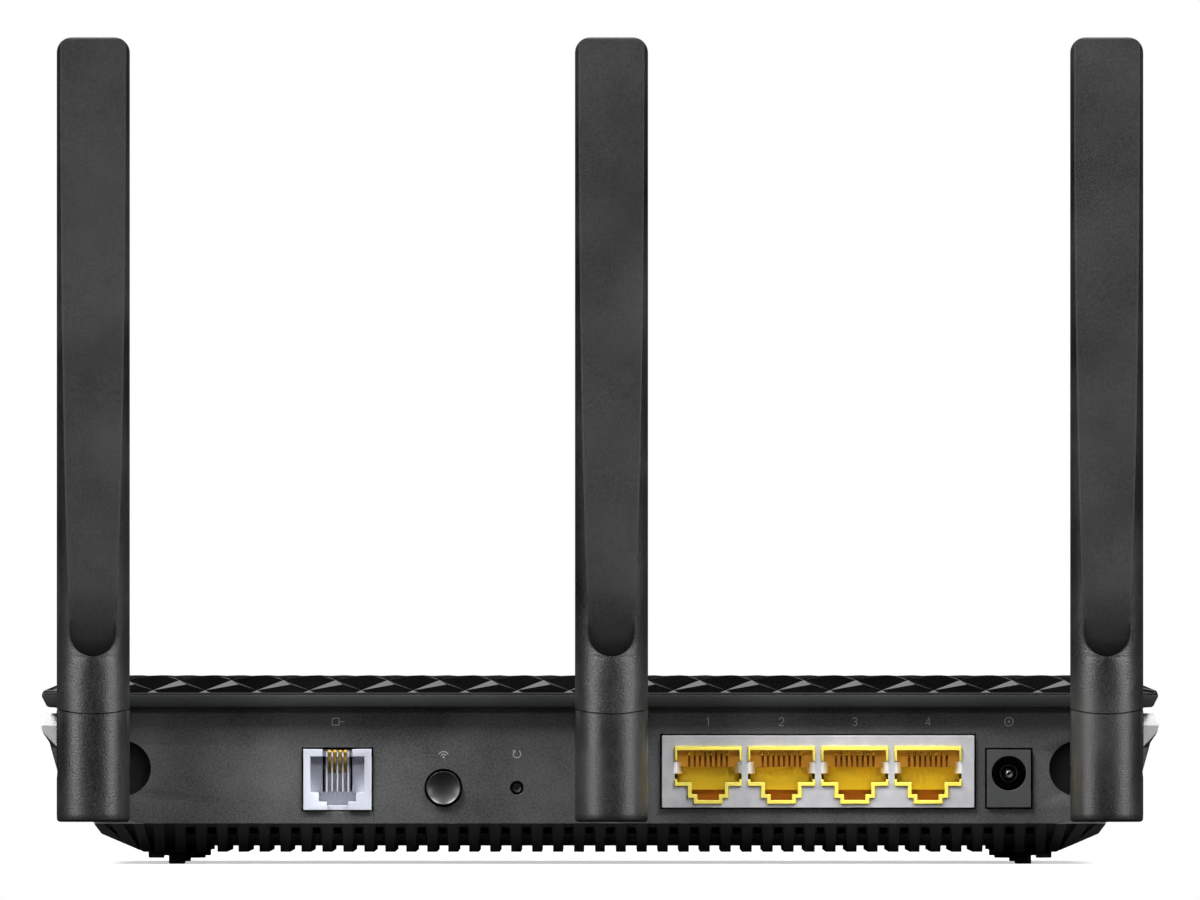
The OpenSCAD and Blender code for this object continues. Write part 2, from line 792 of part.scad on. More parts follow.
module line_socket() color("#dadde4") difference() {
    union() {
        translate([line_x - line_w / 2, socket_y, board_top]) cube([line_w, line_d, line_h]);
        translate([line_x - line_w / 2, socket_y, board_top - line_sill])
            cube([line_w, board_y0 - socket_y - 2 * slack, line_h]);
    }
    translate([line_x, 0, board_top]) along_y(socket_y - over, socket_y + line_port_d)
        plug_outline(line_open_w, line_port_top, line_shoulder_z, line_step_w, line_step_z,
                     line_key_w, line_key_z);
    translate([line_x - comb_w / 2, socket_y - over, board_top + line_port_top - over])
        cube([comb_w, over + comb_d, line_h]);
    translate([line_x - line_key_w / 2, socket_y - over, board_top - over])
        cube([line_key_w, 2 * over, 2 * over]);
}

module line_contacts() color("gold")
    contact_row(line_x, 4, board_top + line_port_top, line_contact_len);

module power_socket() color("#1b1b1d") difference() {
    translate([power_x - power_w / 2, socket_y, board_top]) cube([power_w, power_d, power_h]);
    translate([power_x, 0, power_hole_z])
        rod_y(power_hole_r, socket_y - over, socket_y + power_hole_d);
}

module power_pin() color("silver") translate([power_x, 0, power_hole_z])
    rod_y(power_pin_r, socket_y + 0.8, socket_y + power_hole_d);

// ---- Buttons ----

button_back = panel_in_y + move_gap;
ear_t = 0.8;
ear_w = 1.2;
pair_proud = 0.7;
pair_stem_r = 1.5;
pair_actuator_r = 1.2;
reset_gap = 0.35;
reset_in = 0.6;
reset_collar = 0.6;
reset_actuator_r = 0.8;
stem_y = button_back + ear_t;
actuator_y = stem_y + 1.5;
actuator_len = 1.9;
switch_y = actuator_y + button_travel + move_gap;
switch_d = 3.5;

module pairing_button() color("#232426") translate([pair_x, 0, button_z]) {
    rod_y(pair_r, panel_y - pair_proud, stem_y);
    translate([-pair_r - ear_w, button_back, -pair_r])
        cube([2 * (pair_r + ear_w), ear_t, 2 * pair_r]);
    rod_y(pair_stem_r, stem_y - slack, actuator_y);
}

module reset_plunger() color("#0e0e0f") translate([reset_x, 0, button_z]) {
    rod_y(reset_r - reset_gap, panel_y + reset_in, stem_y);
    rod_y(reset_r + reset_collar, button_back, stem_y);
    rod_y(reset_actuator_r, stem_y - slack, actuator_y);
}

module actuator(x, r) {
    translate([x, 0, button_z]) rod_y(r, actuator_y, actuator_y + actuator_len);
}

// Upright push switch with a hole for its actuator
module push_switch(x, half, r) {
    difference() {
        translate([x - half, switch_y, board_top]) cube([2 * half, switch_d, button_up + 3.2]);
        translate([x, 0, button_z])
            rod_y(r + slack, switch_y - over, actuator_y + actuator_len + button_travel + move_gap);
    }
}

module pairing_actuator() color("#e8e8e8") actuator(pair_x, pair_actuator_r);
module reset_actuator() color("#e8e8e8") actuator(reset_x, reset_actuator_r);
module pairing_switch() color("#b9bcc0") push_switch(pair_x, 3, pair_actuator_r);
module reset_switch() color("#b9bcc0") push_switch(reset_x, 2.2, reset_actuator_r);

// ---- Antennas ----

// Neck: an eye on the fold pin, a bridge and a stem that turns in the rear panel
module neck(x) color("#191a1c") translate([x, 0, pivot_z]) difference() {
    union() {
        translate([0, pivot_y, 0]) rod_x(eye_r, 2 * eye_half);
        translate([-eye_half, pivot_y, -shoulder_half])
            cube([2 * eye_half, pivot_back - move_gap, 2 * shoulder_half]);
        rod_y(stem_r, panel_y - 2 * over, clip_y);
        rod_y(clip_in_r, clip_y - 0.1, stem_end_y);
        rod_y(stem_r, clip_y + clip_t, stem_end_y);
    }
    translate([0, pivot_y, 0]) rod_x(pin_r + run_gap, 2 * eye_half + over);
    rod_y(lead_hole_r, pivot_y + pin_r + 1.4, stem_end_y + over);
}

// Open ring in the stem's groove, behind the rear panel
module clip(x) color("silver") translate([x, 0, pivot_z]) difference() {
    rod_y(clip_r, clip_y, clip_y + clip_t);
    rod_y(clip_in_r, clip_y - over, clip_y + clip_t + over);
    opening = 1.6 * clip_in_r;
    translate([-opening / 2, clip_y - over, -clip_r - over]) cube([opening, clip_t + 2 * over, clip_r + over]);
}

pin_length = 2 * (sqrt(pow(antenna_r, 2) - pow(pin_r, 2)) - 0.3);

module fold_pin(x) color("silver") translate([x, pivot_y, pivot_z]) rod_x(pin_r, pin_length);

// Curved joint face between sleeve and blade, as a solid above it
module above_seam() {
    intersection() {
        translate([0, 0, seam_z + seam_r]) rod_y(seam_r, -2 * antenna_r, 2 * antenna_r);
        translate([0, 0, seam_z - over]) cylinder(h = seam_r, r = antenna_r + over);
    }
}

// Round quarter at the sleeve's lower edge, in steps
round_steps = 6;
sleeve_edge = [for (i = [0 : round_steps]) let (a = 90 * i / round_steps)
    [antenna_r - sleeve_round * (1 - sin(a)), sleeve_z + sleeve_round * (1 - cos(a))]];

module sleeve(x) color("#232426") translate([x, pivot_y, 0]) difference() {
    rotate_extrude() polygon(concat(
        [[0, sleeve_z]], sleeve_edge, [[antenna_r, seam_z + over], [0, seam_z + over]]));
    above_seam();
    translate([0, 0, seam_z - spigot_h - slack]) cylinder(h = spigot_h + 2 * over, r = spigot_r);
    translate([0, 0, pivot_z]) {
        cylinder(h = seam_z - pivot_z, r = lead_hole_r);
        rod_x(eye_r + move_gap, 2 * slot_half);
        rod_x(pin_r + 0.02, 2 * antenna_r + over);
        translate([-slot_half, 0, sleeve_z - pivot_z - over])
            cube([2 * slot_half, antenna_r + over, pivot_z - sleeve_z + over + shoulder_half + move_gap]);
        translate([-slot_half, -shoulder_half - move_gap, sleeve_z - pivot_z - over])
            cube([2 * slot_half, antenna_r + over, pivot_z - sleeve_z + over]);
    }
}

// Distance of the flat face from the axis at height z
face_power = 1.8;
function face_at(z) = z < face_flat_z ? face_low
    : face_top + (face_low - face_top) * pow((antenna_top - z) / (antenna_top - face_flat_z), face_power);
face_steps = 8;
face_sink = 0.45;

// What is cut away in front of one flat face, which sinks a little towards its lower end
module face_cut() {
    deep = antenna_r + over;
    heights = [for (i = [0 : face_steps])
        face_flat_z + (antenna_top + over - face_flat_z) * i / face_steps];
    intersection() {
        along_x(-deep, deep) polygon(concat(
            [[-deep, u_z - u_r - over], [face_sink - face_low, u_z - u_r - over]],
            [for (z = heights) [-face_at(min(z, antenna_top)), z]],
            [[-deep, antenna_top + over]]));
        along_y(-deep - over, 0) union() {
            translate([0, u_z]) circle(r = u_r);
            translate([-deep, u_z]) square([2 * deep, antenna_top + 2 * over - u_z]);
        }
    }
}

module blade_outline() {
    straight = antenna_top - tip_r;
    corner_x = antenna_r - tip_r + 0.05;
    translate([-antenna_r - over, 0]) square([2 * (antenna_r + over), straight]);
    translate([-corner_x, 0]) square([2 * corner_x, antenna_top]);
    for (s = [-1, 1]) translate([s * corner_x, straight]) circle(r = tip_r);
}

module blade(x) color("#26272a") translate([x, pivot_y, 0]) difference() {
    union() {
        intersection() {
            union() {
                above_seam();
                translate([0, 0, seam_z + 2 * over])
                    cylinder(h = antenna_top - seam_z, r = antenna_r);
            }
            cylinder(h = antenna_top, r = antenna_r);
            along_y(-2 * antenna_r, 2 * antenna_r) blade_outline();
        }
        translate([0, 0, seam_z - spigot_h]) cylinder(h = spigot_h + 2 * over, r = spigot_r);
    }
    face_cut();
    mirror([0, 1, 0]) face_cut();
    translate([-radiator_w / 2 - radiator_gap, -radiator_t / 2 - radiator_gap, radiator_z])
        cube([radiator_w + 2 * radiator_gap, radiator_t + 2 * radiator_gap,
              radiator_top + over - radiator_z]);
    translate([0, 0, seam_z - spigot_h - over])
        cylinder(h = radiator_z - seam_z + spigot_h + 2 * over, r = lead_hole_r);
}

module radiator(x) color("#b8863a") translate([x, pivot_y, radiator_z])
    slab(radiator_w, radiator_t, radiator_top - radiator_z);

bottom_case();
rear_panel();
top_cover();
side_trim();
light_guide();
rubber_feet();
case_screws();
main_board();
board_screws();
processor();
thermal_pad();
heat_sink();
memory_chips();
radio_chips();
radio_shields();
network_transformers();
line_transformer();
capacitors();
power_inductors();
indicator_lamps();
lead_sockets();
antenna_leads();
lan_shell();
lan_housing();
lan_contacts();
line_socket();
line_contacts();
power_socket();
power_pin();
pairing_button();
pairing_actuator();
pairing_switch();
reset_plunger();
reset_actuator();
reset_switch();
neck(left_x);  // left_neck
clip(left_x);  // left_clip
fold_pin(left_x);  // left_pin
sleeve(left_x);  // left_sleeve
blade(left_x);  // left_blade
radiator(left_x);  // left_radiator
neck(middle_x);  // middle_neck
clip(middle_x);  // middle_clip
fold_pin(middle_x);  // middle_pin
sleeve(middle_x);  // middle_sleeve
blade(middle_x);  // middle_blade
radiator(middle_x);  // middle_radiator
neck(right_x);  // right_neck
clip(right_x);  // right_clip
fold_pin(right_x);  // right_pin
sleeve(right_x);  // right_sleeve
blade(right_x);  // right_blade
radiator(right_x);  // right_radiator
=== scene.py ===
from math import asin, atan2, cos, pi, radians, sin, sqrt

import bmesh
import bpy
from mathutils import Matrix, Vector


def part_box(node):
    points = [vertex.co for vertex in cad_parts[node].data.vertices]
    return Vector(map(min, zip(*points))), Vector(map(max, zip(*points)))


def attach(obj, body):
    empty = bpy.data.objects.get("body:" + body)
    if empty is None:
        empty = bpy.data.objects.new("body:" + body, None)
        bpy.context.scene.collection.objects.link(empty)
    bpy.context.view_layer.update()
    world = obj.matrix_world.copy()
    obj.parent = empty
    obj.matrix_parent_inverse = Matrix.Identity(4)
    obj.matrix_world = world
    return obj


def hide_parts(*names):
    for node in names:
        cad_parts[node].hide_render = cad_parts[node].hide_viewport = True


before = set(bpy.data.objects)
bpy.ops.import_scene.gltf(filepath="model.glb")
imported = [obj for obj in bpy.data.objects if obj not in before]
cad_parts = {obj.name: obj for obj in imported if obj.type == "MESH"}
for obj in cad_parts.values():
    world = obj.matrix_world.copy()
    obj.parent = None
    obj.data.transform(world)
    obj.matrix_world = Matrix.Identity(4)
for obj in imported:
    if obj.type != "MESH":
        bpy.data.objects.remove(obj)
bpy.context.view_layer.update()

mm = 0.001

# ---- Bottom case ----
# A black tub moulded in one piece, with ribs that run under it and up the rear slope.
# Four posts carry the board and four bosses take the case screws.


def bare_stuff(name):
    """A new material, with its node tree and its main shader."""
    stuff = bpy.data.materials.new(name)
    stuff.use_nodes = True
    return stuff, stuff.node_tree, stuff.node_tree.nodes["Principled BSDF"]


def noise(tree, vector, scale, detail):
    """A soft random texture."""
    texture = tree.nodes.new("ShaderNodeTexNoise")
    texture.inputs["Scale"].default_value = scale
    texture.inputs["Detail"].default_value = detail
    tree.links.new(vector, texture.inputs["Vector"])
    return texture.outputs["Fac"]


def worked_out(tree, operation, *values):
    """One value worked out from others, each a plain number or another node's output."""
    node = tree.nodes.new("ShaderNodeMath")
    node.operation = operation
    for socket, value in zip(node.inputs, values):
        if isinstance(value, float):
            socket.default_value = value
        else:
            tree.links.new(value, socket)
    return node.outputs[0]


def spread(tree, value, start, end, least, most):
    """A value from start to end, spread over least to most."""
    node = tree.nodes.new("ShaderNodeMapRange")
    for socket, number in (("From Min", start), ("From Max", end), ("To Min", least), ("To Max", most)):
        node.inputs[socket].default_value = number
    tree.links.new(value, node.inputs["Value"])
    return node.outputs["Result"]


def tone_by(tree, shader, value, start, dark, end, light):
    """Colours the shader from dark to light, as the value goes from start to end."""
    tone = tree.nodes.new("ShaderNodeValToRGB")
    for stop, spot, colour in zip(tone.color_ramp.elements, (start, end), (dark, light)):
        stop.position = spot
        stop.color = (*colour, 1)
    tree.links.new(value, tone.inputs["Fac"])
    tree.links.new(tone.outputs["Color"], shader.inputs["Base Color"])


def bump_by(tree, shader, height, strength, depth):
    """Presses a texture depth millimetres deep into the surface."""
    bump = tree.nodes.new("ShaderNodeBump")
    bump.inputs["Strength"].default_value = strength
    bump.inputs["Distance"].default_value = depth * mm
    tree.links.new(height, bump.inputs["Height"])
    tree.links.new(bump.outputs["Normal"], shader.inputs["Normal"])


def grain_plastic(name, dark, light, rough, grain=0.16, depth=0.006, sheen_change=0.06, gloss=0.5):
    """A moulded finish: a fine spark-eroded grain with faint cloudy changes of tone and sheen.
    grain is the size of its cells and depth their height, in millimetres."""
    cloud_scale, cloud_share, fine_share = 55, 0.55, 0.45
    stuff, tree, shader = bare_stuff(name)
    shader.inputs["Specular IOR Level"].default_value = gloss
    place = tree.nodes.new("ShaderNodeTexCoord").outputs["Object"]
    cloud = noise(tree, place, cloud_scale, 5)
    fine = noise(tree, place, 1 / (grain * mm), 3)
    cloudy = worked_out(tree, "MULTIPLY", cloud, cloud_share)
    both = worked_out(tree, "MULTIPLY_ADD", fine, fine_share, cloudy)
    tone_by(tree, shader, both, 0.36, dark, 0.64, light)
    sheen = spread(tree, both, 0.3, 0.7, rough - sheen_change, rough + sheen_change)
    tree.links.new(sheen, shader.inputs["Roughness"])
    bump_by(tree, shader, fine, 0.6, depth)
    return stuff


def finish_piece(piece, body, slot, stuff, *nodes):
    """Gives a piece its material and its body, and hides the nodes that it stands for. The slot is not used.
    """
    piece.data.materials.append(stuff)
    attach(piece, body)
    if nodes:
        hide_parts(*nodes)
    return piece


def new_piece(name, bm, soft=30):
    """Turns a bmesh into an object, smooth except at edges sharper than soft degrees."""
    bmesh.ops.recalc_face_normals(bm, faces=bm.faces)
    mesh = bpy.data.meshes.new(name)
    bm.to_mesh(mesh)
    bm.free()
    mesh.shade_smooth()
    mesh.set_sharp_from_angle(angle=radians(soft))
    piece = bpy.data.objects.new(name, mesh)
    bpy.context.scene.collection.objects.link(piece)
    return piece


def solid_of(node):
    """The node's solid as one clean bmesh, its flat faces whole."""
    bm = bmesh.new()
    bm.from_mesh(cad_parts[node].data)
    bmesh.ops.remove_doubles(bm, verts=bm.verts, dist=1e-6)
    bmesh.ops.dissolve_limit(bm, angle_limit=radians(0.5), verts=bm.verts, edges=bm.edges)
    return bm


def with_soft_edges(name, node, edge, steps=2, change=lambda bm: bm):
    """The node's shape with every sharp edge rounded by edge millimetres, as the mould leaves it."""
    rounded_from, sharp_from = 30, 35
    piece = new_piece(name, change(solid_of(node)), sharp_from)
    bevel = piece.modifiers.new("soft_edges", "BEVEL")
    bevel.width = edge * mm
    bevel.segments = steps
    bevel.limit_method = "ANGLE"
    bevel.angle_limit = radians(rounded_from)
    bevel.use_clamp_overlap = True
    bevel.harden_normals = True
    return piece


case_black = grain_plastic("case_black", (0.080, 0.081, 0.082), (0.120, 0.121, 0.122), 0.46)
case = with_soft_edges("case", "bottom_case", 0.28)
finish_piece(case, "root", "case_plastic", case_black, "bottom_case")

# ---- Feet and case screws ----
# Soft rubber pads with three treads each, pressed into round recesses under the case.
# Behind each pad a zinc-plated screw goes up through the case and holds the cover down.

rubber = grain_plastic("rubber", (0.010, 0.010, 0.010), (0.020, 0.020, 0.020), 0.72, 0.3, 0.01, 0.05, 0.3)
feet = with_soft_edges("feet", "rubber_feet", 1.0, 4)
finish_piece(feet, "root", "rubber", rubber, "rubber_feet")


def dress(node, stuff):
    """Gives a CAD piece that keeps its own shape its material."""
    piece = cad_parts[node]
    piece.data.materials.clear()
    piece.data.materials.append(stuff)


def sheet_metal(name, colour, rough):
    """Bare metal with fine drawn streaks and faint clouding."""
    streak_stretch, streak_width, streak_depth = 0.06, 0.05, 0.002
    cloud_scale, dull, bright, sheen_change = 260, 0.86, 1.06, 0.08
    stuff, tree, shader = bare_stuff(name)
    shader.inputs["Metallic"].default_value = 1
    place = tree.nodes.new("ShaderNodeTexCoord").outputs["Object"]
    stretch = tree.nodes.new("ShaderNodeMapping")
    stretch.inputs["Scale"].default_value = (streak_stretch, 1, 1)
    tree.links.new(place, stretch.inputs["Vector"])
    drawn = noise(tree, stretch.outputs["Vector"], 1 / (streak_width * mm), 2)
    cloud = noise(tree, place, cloud_scale, 4)
    tone_by(tree, shader, cloud, 0.3, [dull * c for c in colour], 0.7, [min(1, bright * c) for c in colour])
    sheen = spread(tree, drawn, 0, 1, rough - sheen_change, rough + sheen_change)
    tree.links.new(sheen, shader.inputs["Roughness"])
    bump_by(tree, shader, drawn, 0.3, streak_depth)
    return stuff


bright_zinc = sheet_metal("bright_zinc", (0.62, 0.63, 0.65), 0.3)
for node in ("case_screws", "board_screws"):
    dress(node, bright_zinc)

# ---- Main board and its parts ----
# Glass fibre with green solder mask, screwed down on the case's posts.
# Chips, shields and wound parts are soldered on it, and the heat sink lies on a soft pad.


def tune(stuff, setting, value):
    """Changes one setting of a finish."""
    stuff.node_tree.nodes["Principled BSDF"].inputs[setting].default_value = value


solder_mask = grain_plastic("solder_mask", (0.008, 0.070, 0.032), (0.015, 0.110, 0.050), 0.35, 0.4, 0.01)
moulded_epoxy = grain_plastic("moulded_epoxy", (0.014, 0.014, 0.015), (0.026, 0.026, 0.027), 0.55, 0.1, 0.004)
soft_silicone = grain_plastic("soft_silicone", (0.26, 0.32, 0.39), (0.36, 0.42, 0.49), 0.8, 0.3, 0.01)
extruded_aluminium = sheet_metal("extruded_aluminium", (0.62, 0.63, 0.65), 0.42)
tinned_sheet = sheet_metal("tinned_sheet", (0.93, 0.92, 0.96), 0.52)
tune(tinned_sheet, "Metallic", 0.75)
polyester_tape = grain_plastic("polyester_tape", (0.52, 0.40, 0.05), (0.66, 0.52, 0.08), 0.3, 0.5, 0.01)
shrunk_sleeve = grain_plastic("shrunk_sleeve", (0.02, 0.03, 0.11), (0.03, 0.05, 0.16), 0.28, 0.6, 0.006)
pressed_ferrite = grain_plastic("pressed_ferrite", (0.05, 0.05, 0.052), (0.09, 0.09, 0.092), 0.6, 0.1, 0.008)
lamp_resin = grain_plastic("lamp_resin", (0.70, 0.72, 0.62), (0.84, 0.86, 0.76), 0.25, 0.4, 0.003)
gold_plate = sheet_metal("gold_plate", (0.86, 0.60, 0.20), 0.26)
lead_jacket = grain_plastic("lead_jacket", (0.05, 0.05, 0.052), (0.08, 0.08, 0.083), 0.4, 0.2, 0.004)
for node, stuff in (
        ("main_board", solder_mask), ("processor", moulded_epoxy), ("thermal_pad", soft_silicone),
        ("heat_sink", extruded_aluminium), ("memory_chips", moulded_epoxy),
        ("radio_chips", moulded_epoxy), ("radio_shields", tinned_sheet),
        ("network_transformers", moulded_epoxy), ("line_transformer", polyester_tape),
        ("capacitors", shrunk_sleeve), ("power_inductors", pressed_ferrite),
        ("indicator_lamps", lamp_resin), ("lead_sockets", gold_plate),
        ("antenna_leads", lead_jacket)):
    dress(node, stuff)

# ---- Light guide ----
# Clear acrylic, moulded in one piece: a bar in the front of the trim with a leg over each lamp.
# It is held in a slot through the case wall and the trim.

clear_acrylic = grain_plastic("clear_acrylic", (0.80, 0.84, 0.86), (0.88, 0.91, 0.93), 0.12, 0.8, 0.001)
tune(clear_acrylic, "Transmission Weight", 0.9)
guide = with_soft_edges("guide", "light_guide", 0.15)
finish_piece(guide, "root", "clear_guide", clear_acrylic, "light_guide")

# ---- Network sockets ----
# Four openings in one yellow moulding, under a folded shell of tinned sheet that stands on the board.
# Each opening has a raised lip, a comb with eight gilt wires, and a spring of the shell in each side.


def cut_boxes(piece, boxes):
    """Cuts boxes, each given by two corners in millimetres, out of a piece."""
    bm = bmesh.new()
    for low, high in boxes:
        size = Vector(high) - Vector(low)
        spot = Matrix.Translation((Vector(low) + Vector(high)) / 2 * mm)
        bmesh.ops.create_cube(bm, size=1, matrix=spot @ Matrix.Diagonal((*(size * mm), 1)))
    mesh = bpy.data.meshes.new("cutter")
    bm.to_mesh(mesh)
    bm.free()
    cutter = bpy.data.objects.new("cutter", mesh)
    bpy.context.scene.collection.objects.link(cutter)
    cut = piece.modifiers.new("cut", "BOOLEAN")
    cut.object = cutter
    cut.solver = "EXACT"
    bpy.ops.object.select_all(action="DESELECT")
    with bpy.context.temp_override(object=piece, active_object=piece, selected_objects=[piece]):
        while piece.modifiers[0] != cut:
            bpy.ops.object.modifier_move_up(modifier="cut")
        bpy.ops.object.modifier_apply(modifier="cut")
    bpy.data.objects.remove(cutter)


def strip(bm, path, thick, width, lay):
    """A bent strip: path is in one plane, and lay turns (u, v, across) into a point."""
    rings = []
    for k, (u, v) in enumerate(path):
        before, after = path[max(k - 1, 0)], path[min(k + 1, len(path) - 1)]
        du, dv = after[0] - before[0], after[1] - before[1]
        run = sqrt(du * du + dv * dv)
        nu, nv = -dv / run * thick / 2, du / run * thick / 2
        rings.append([bm.verts.new(lay(u + a * nu, v + a * nv, b * width / 2))
                      for a, b in ((1, 1), (1, -1), (-1, -1), (-1, 1))])
    for low, high in zip(rings, rings[1:]):
        for k in range(4):
            n = (k + 1) % 4
            bm.faces.new((low[k], low[n], high[n], high[k]))
    bm.faces.new(rings[0][::-1])
    bm.faces.new(rings[-1])


def arc(cu, cv, r, start, stop, steps=5):
    """Points along an arc about (cu, cv), from the start angle to the stop angle."""
    return [(cu + r * cos(radians(start + (stop - start) * k / steps)),
             cv + r * sin(radians(start + (stop - start) * k / steps))) for k in range(steps + 1)]


def raised(bm, outline, y0, y1, x0, z0):
    """A solid with an outline in the (x, z) plane, from y0 back to y1."""
    ends = [[bm.verts.new(((x0 + x) * mm, y * mm, (z0 + z) * mm)) for x, z in outline] for y in (y0, y1)]
    for k in range(len(outline)):
        n = (k + 1) % len(outline)
        bm.faces.new((ends[0][k], ends[0][n], ends[1][n], ends[1][k]))
    bm.faces.new(ends[0][::-1])
    bm.faces.new(ends[1])


def comb_outline(half, low, top, wires, slot_w, slot_top):
    """A block with a slot, open below and round above, for each wire."""
    points = [(-half, top), (-half, low)]
    for k in range(wires):
        x = (k - (wires - 1) / 2) * wire_pitch
        points += [(x - slot_w / 2, low)]
        points += arc(x, slot_top - slot_w / 2, slot_w / 2, 180, 0)
        points += [(x + slot_w / 2, low)]
    return points + [(half, low), (half, top)]


def corners(node):
    """The lowest and the highest corner of a CAD piece, in millimetres."""
    return [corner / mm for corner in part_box(node)]


yellow = grain_plastic("yellow", (0.80, 0.66, 0.085), (0.88, 0.76, 0.150), 0.42, 0.25, 0.003, 0.05)
# The plug stops are the yellow moulding painted a deeper, darker gold, as painted shade inside the openings.
stop_shaded_yellow = grain_plastic("stop_shaded_yellow", (0.82, 0.58, 0.030), (0.90, 0.66, 0.050), 0.42, 0.25, 0.003, 0.05)
# The combs' fronts are the yellow moulding painted orange-brown, as painted shade with a painted reflection
# of the gilt wires.
comb_shaded_yellow = grain_plastic("comb_shaded_yellow", (0.76, 0.34, 0.034), (0.88, 0.43, 0.048), 0.45, 0.25, 0.003, 0.05)
# The slots, the plates behind the combs and the plates behind the catches are painted dark brown, as painted
# shade deep in the openings.
slot_shaded_yellow = grain_plastic("slot_shaded_yellow", (0.42, 0.125, 0.016), (0.54, 0.175, 0.022), 0.5, 0.25, 0.003, 0.05)
wire_pitch, port_pitch = 1.02, 13.97
port_wires = 8
lan_low, lan_high = corners("lan_shell")
lan_base = lan_low.z
lan_middle = (lan_low.x + lan_high.x) / 2
ports = [lan_middle + (k - 1.5) * port_pitch for k in range(4)]
socket_y = lan_low.y
shell = with_soft_edges("shell", "lan_shell", 0.12)
finish_piece(shell, "root", "tinned_sheet", tinned_sheet, "lan_shell")
housing = with_soft_edges("housing", "lan_housing", 0.12)
spring_low, spring_high, spring_thick = 6.5, 8.7, 0.18
window_x, window_half, window_low = 5.8, 0.95, 5.35
cut_boxes(housing, [((x + way * window_x - window_half, socket_y - 1, lan_base + window_low),
                     (x + way * window_x + window_half, socket_y + 8, lan_base + spring_high + 0.15))
                    for x in ports for way in (-1, 1)])
finish_piece(housing, "root", "yellow_plastic", yellow, "lan_housing")
springs = bmesh.new()
spring_bend = [(6.62, 0.10), (6.35, 0.12), (6.05, 0.25), (5.8, 0.6), (5.45, 1.4), (5.15, 2.6), (5.1, 3.4),
               (5.3, 4.6), (5.75, 6.2)]
for x in ports:
    for way in (-1, 1):
        strip(springs, spring_bend, spring_thick, spring_high - spring_low,
              lambda u, v, w: ((x + way * u) * mm, (socket_y + v) * mm,
                               (lan_base + (spring_low + spring_high) / 2 + w) * mm))
finish_piece(new_piece("shell_springs", springs), "root", "tinned_sheet", tinned_sheet)


def plate(half, low, top):
    """The outline of a plain rectangle, half its width to each side."""
    return [(-half, low), (half, low), (half, top), (-half, top)]


comb_half, comb_low, comb_top = 5.9, 7.75, 10.86
slot_wide, slot_top = 0.44, 10.5
comb_y, comb_back, block_back = 1.7, 3.3, 9.5
carriers = bmesh.new()
for x in ports:
    raised(carriers, comb_outline(comb_half, comb_low, comb_top, port_wires, slot_wide, slot_top),
           socket_y + comb_y, socket_y + comb_back, x, lan_base)
    raised(carriers, plate(comb_half, comb_low, comb_top), socket_y + comb_back, socket_y + block_back, x,
           lan_base)
    raised(carriers, plate(3.0, 1.0, 3.5), socket_y + 6.0, socket_y + 7.0, x, lan_base)
# The combs' fronts take the orange-brown of painted shade.
combs = finish_piece(new_piece("contact_combs", carriers), "root", "yellow_plastic", comb_shaded_yellow)
combs.data.materials.append(slot_shaded_yellow)
# Every face behind the combs' fronts takes the dark brown of painted shade.
for f in combs.data.polygons:
    if f.center.y / mm > socket_y + comb_y + 0.1:
        f.material_index = 1
plug_half, plug_low, plug_top = 5.92, 4.85, 7.7
catch_half, catch_low = 3.12, 3.4
stops = bmesh.new()
for x in ports:
    raised(stops, [(-plug_half, plug_top), (-plug_half, plug_low), (-catch_half, plug_low),
                   (-catch_half, catch_low), (catch_half, catch_low), (catch_half, plug_low),
                   (plug_half, plug_low), (plug_half, plug_top)],
           socket_y + 4.5, socket_y + 14.9, x, lan_base)
# The stops take the deeper gold of painted shade.
finish_piece(new_piece("plug_stops", stops), "root", "yellow_plastic", stop_shaded_yellow)
wire_bend = [(9.4, 10.62)] + arc(1.5, 10.38, 0.24, 90, 250, 6) + [(5.5, 9.0), (9.3, 7.95), (12.0, 7.6)]
wire_thick, wire_wide = 0.16, 0.36
wires = bmesh.new()
for x in ports:
    for k in range(port_wires):
        wire_x = x + (k - (port_wires - 1) / 2) * wire_pitch
        strip(wires, wire_bend, wire_thick, wire_wide,
              lambda u, v, w: ((wire_x + w) * mm, (socket_y + u) * mm, (lan_base + v) * mm))
finish_piece(new_piece("network_wires", wires), "root", "gold", gold_plate, "lan_contacts")

# ---- Line socket ----
# A pale moulding on the board, with a slotted top edge. Four gilt wires bend down from the slot,
# and thin fins stand between them.

pale = grain_plastic("pale", (0.44, 0.455, 0.52), (0.52, 0.535, 0.60), 0.38, 0.25, 0.003, 0.05)
line_low, line_high = corners("line_socket")
line_x = (line_low.x + line_high.x) / 2
line_opening = 11.1
line_base = line_high.z - line_opening
line = with_soft_edges("line", "line_socket", 0.08)
finish_piece(line, "root", "pale_plastic", pale, "line_socket")
line_stop = socket_y + 13.9
fin_low, fin_top, fin_half, tooth_half = 3.0, 9.66, 0.13, 0.12
fins = bmesh.new()
for way in (-1, 1):
    raised(fins, [(way * 5.14, 9.69), (way * 5.14, 2.81), (way * 2.85, 2.81), (way * 2.85, 9.69)],
           socket_y + 2.7, line_stop, line_x, line_base)
raised(fins, plate(2.45, fin_low, fin_top), socket_y + 4.8, line_stop, line_x, line_base)
raised(fins, [(-3.54, fin_low), (-3.54, 1.11), (-1.99, 1.11), (-1.99, 0.42), (1.99, 0.42), (1.99, 1.11),
              (3.54, 1.11), (3.54, fin_low)], socket_y + 3.4, line_stop, line_x, line_base)
for k in range(5):
    fin_x = line_x + (k - 2) * wire_pitch
    raised(fins, plate(fin_half, fin_low, fin_top), socket_y + 1.4, socket_y + 4.9, fin_x, line_base)
    raised(fins, plate(tooth_half, 9.6, 10.7), socket_y + 0.5, socket_y + 1.7, fin_x, line_base)
finish_piece(new_piece("line_fins", fins), "root", "pale_plastic", pale)
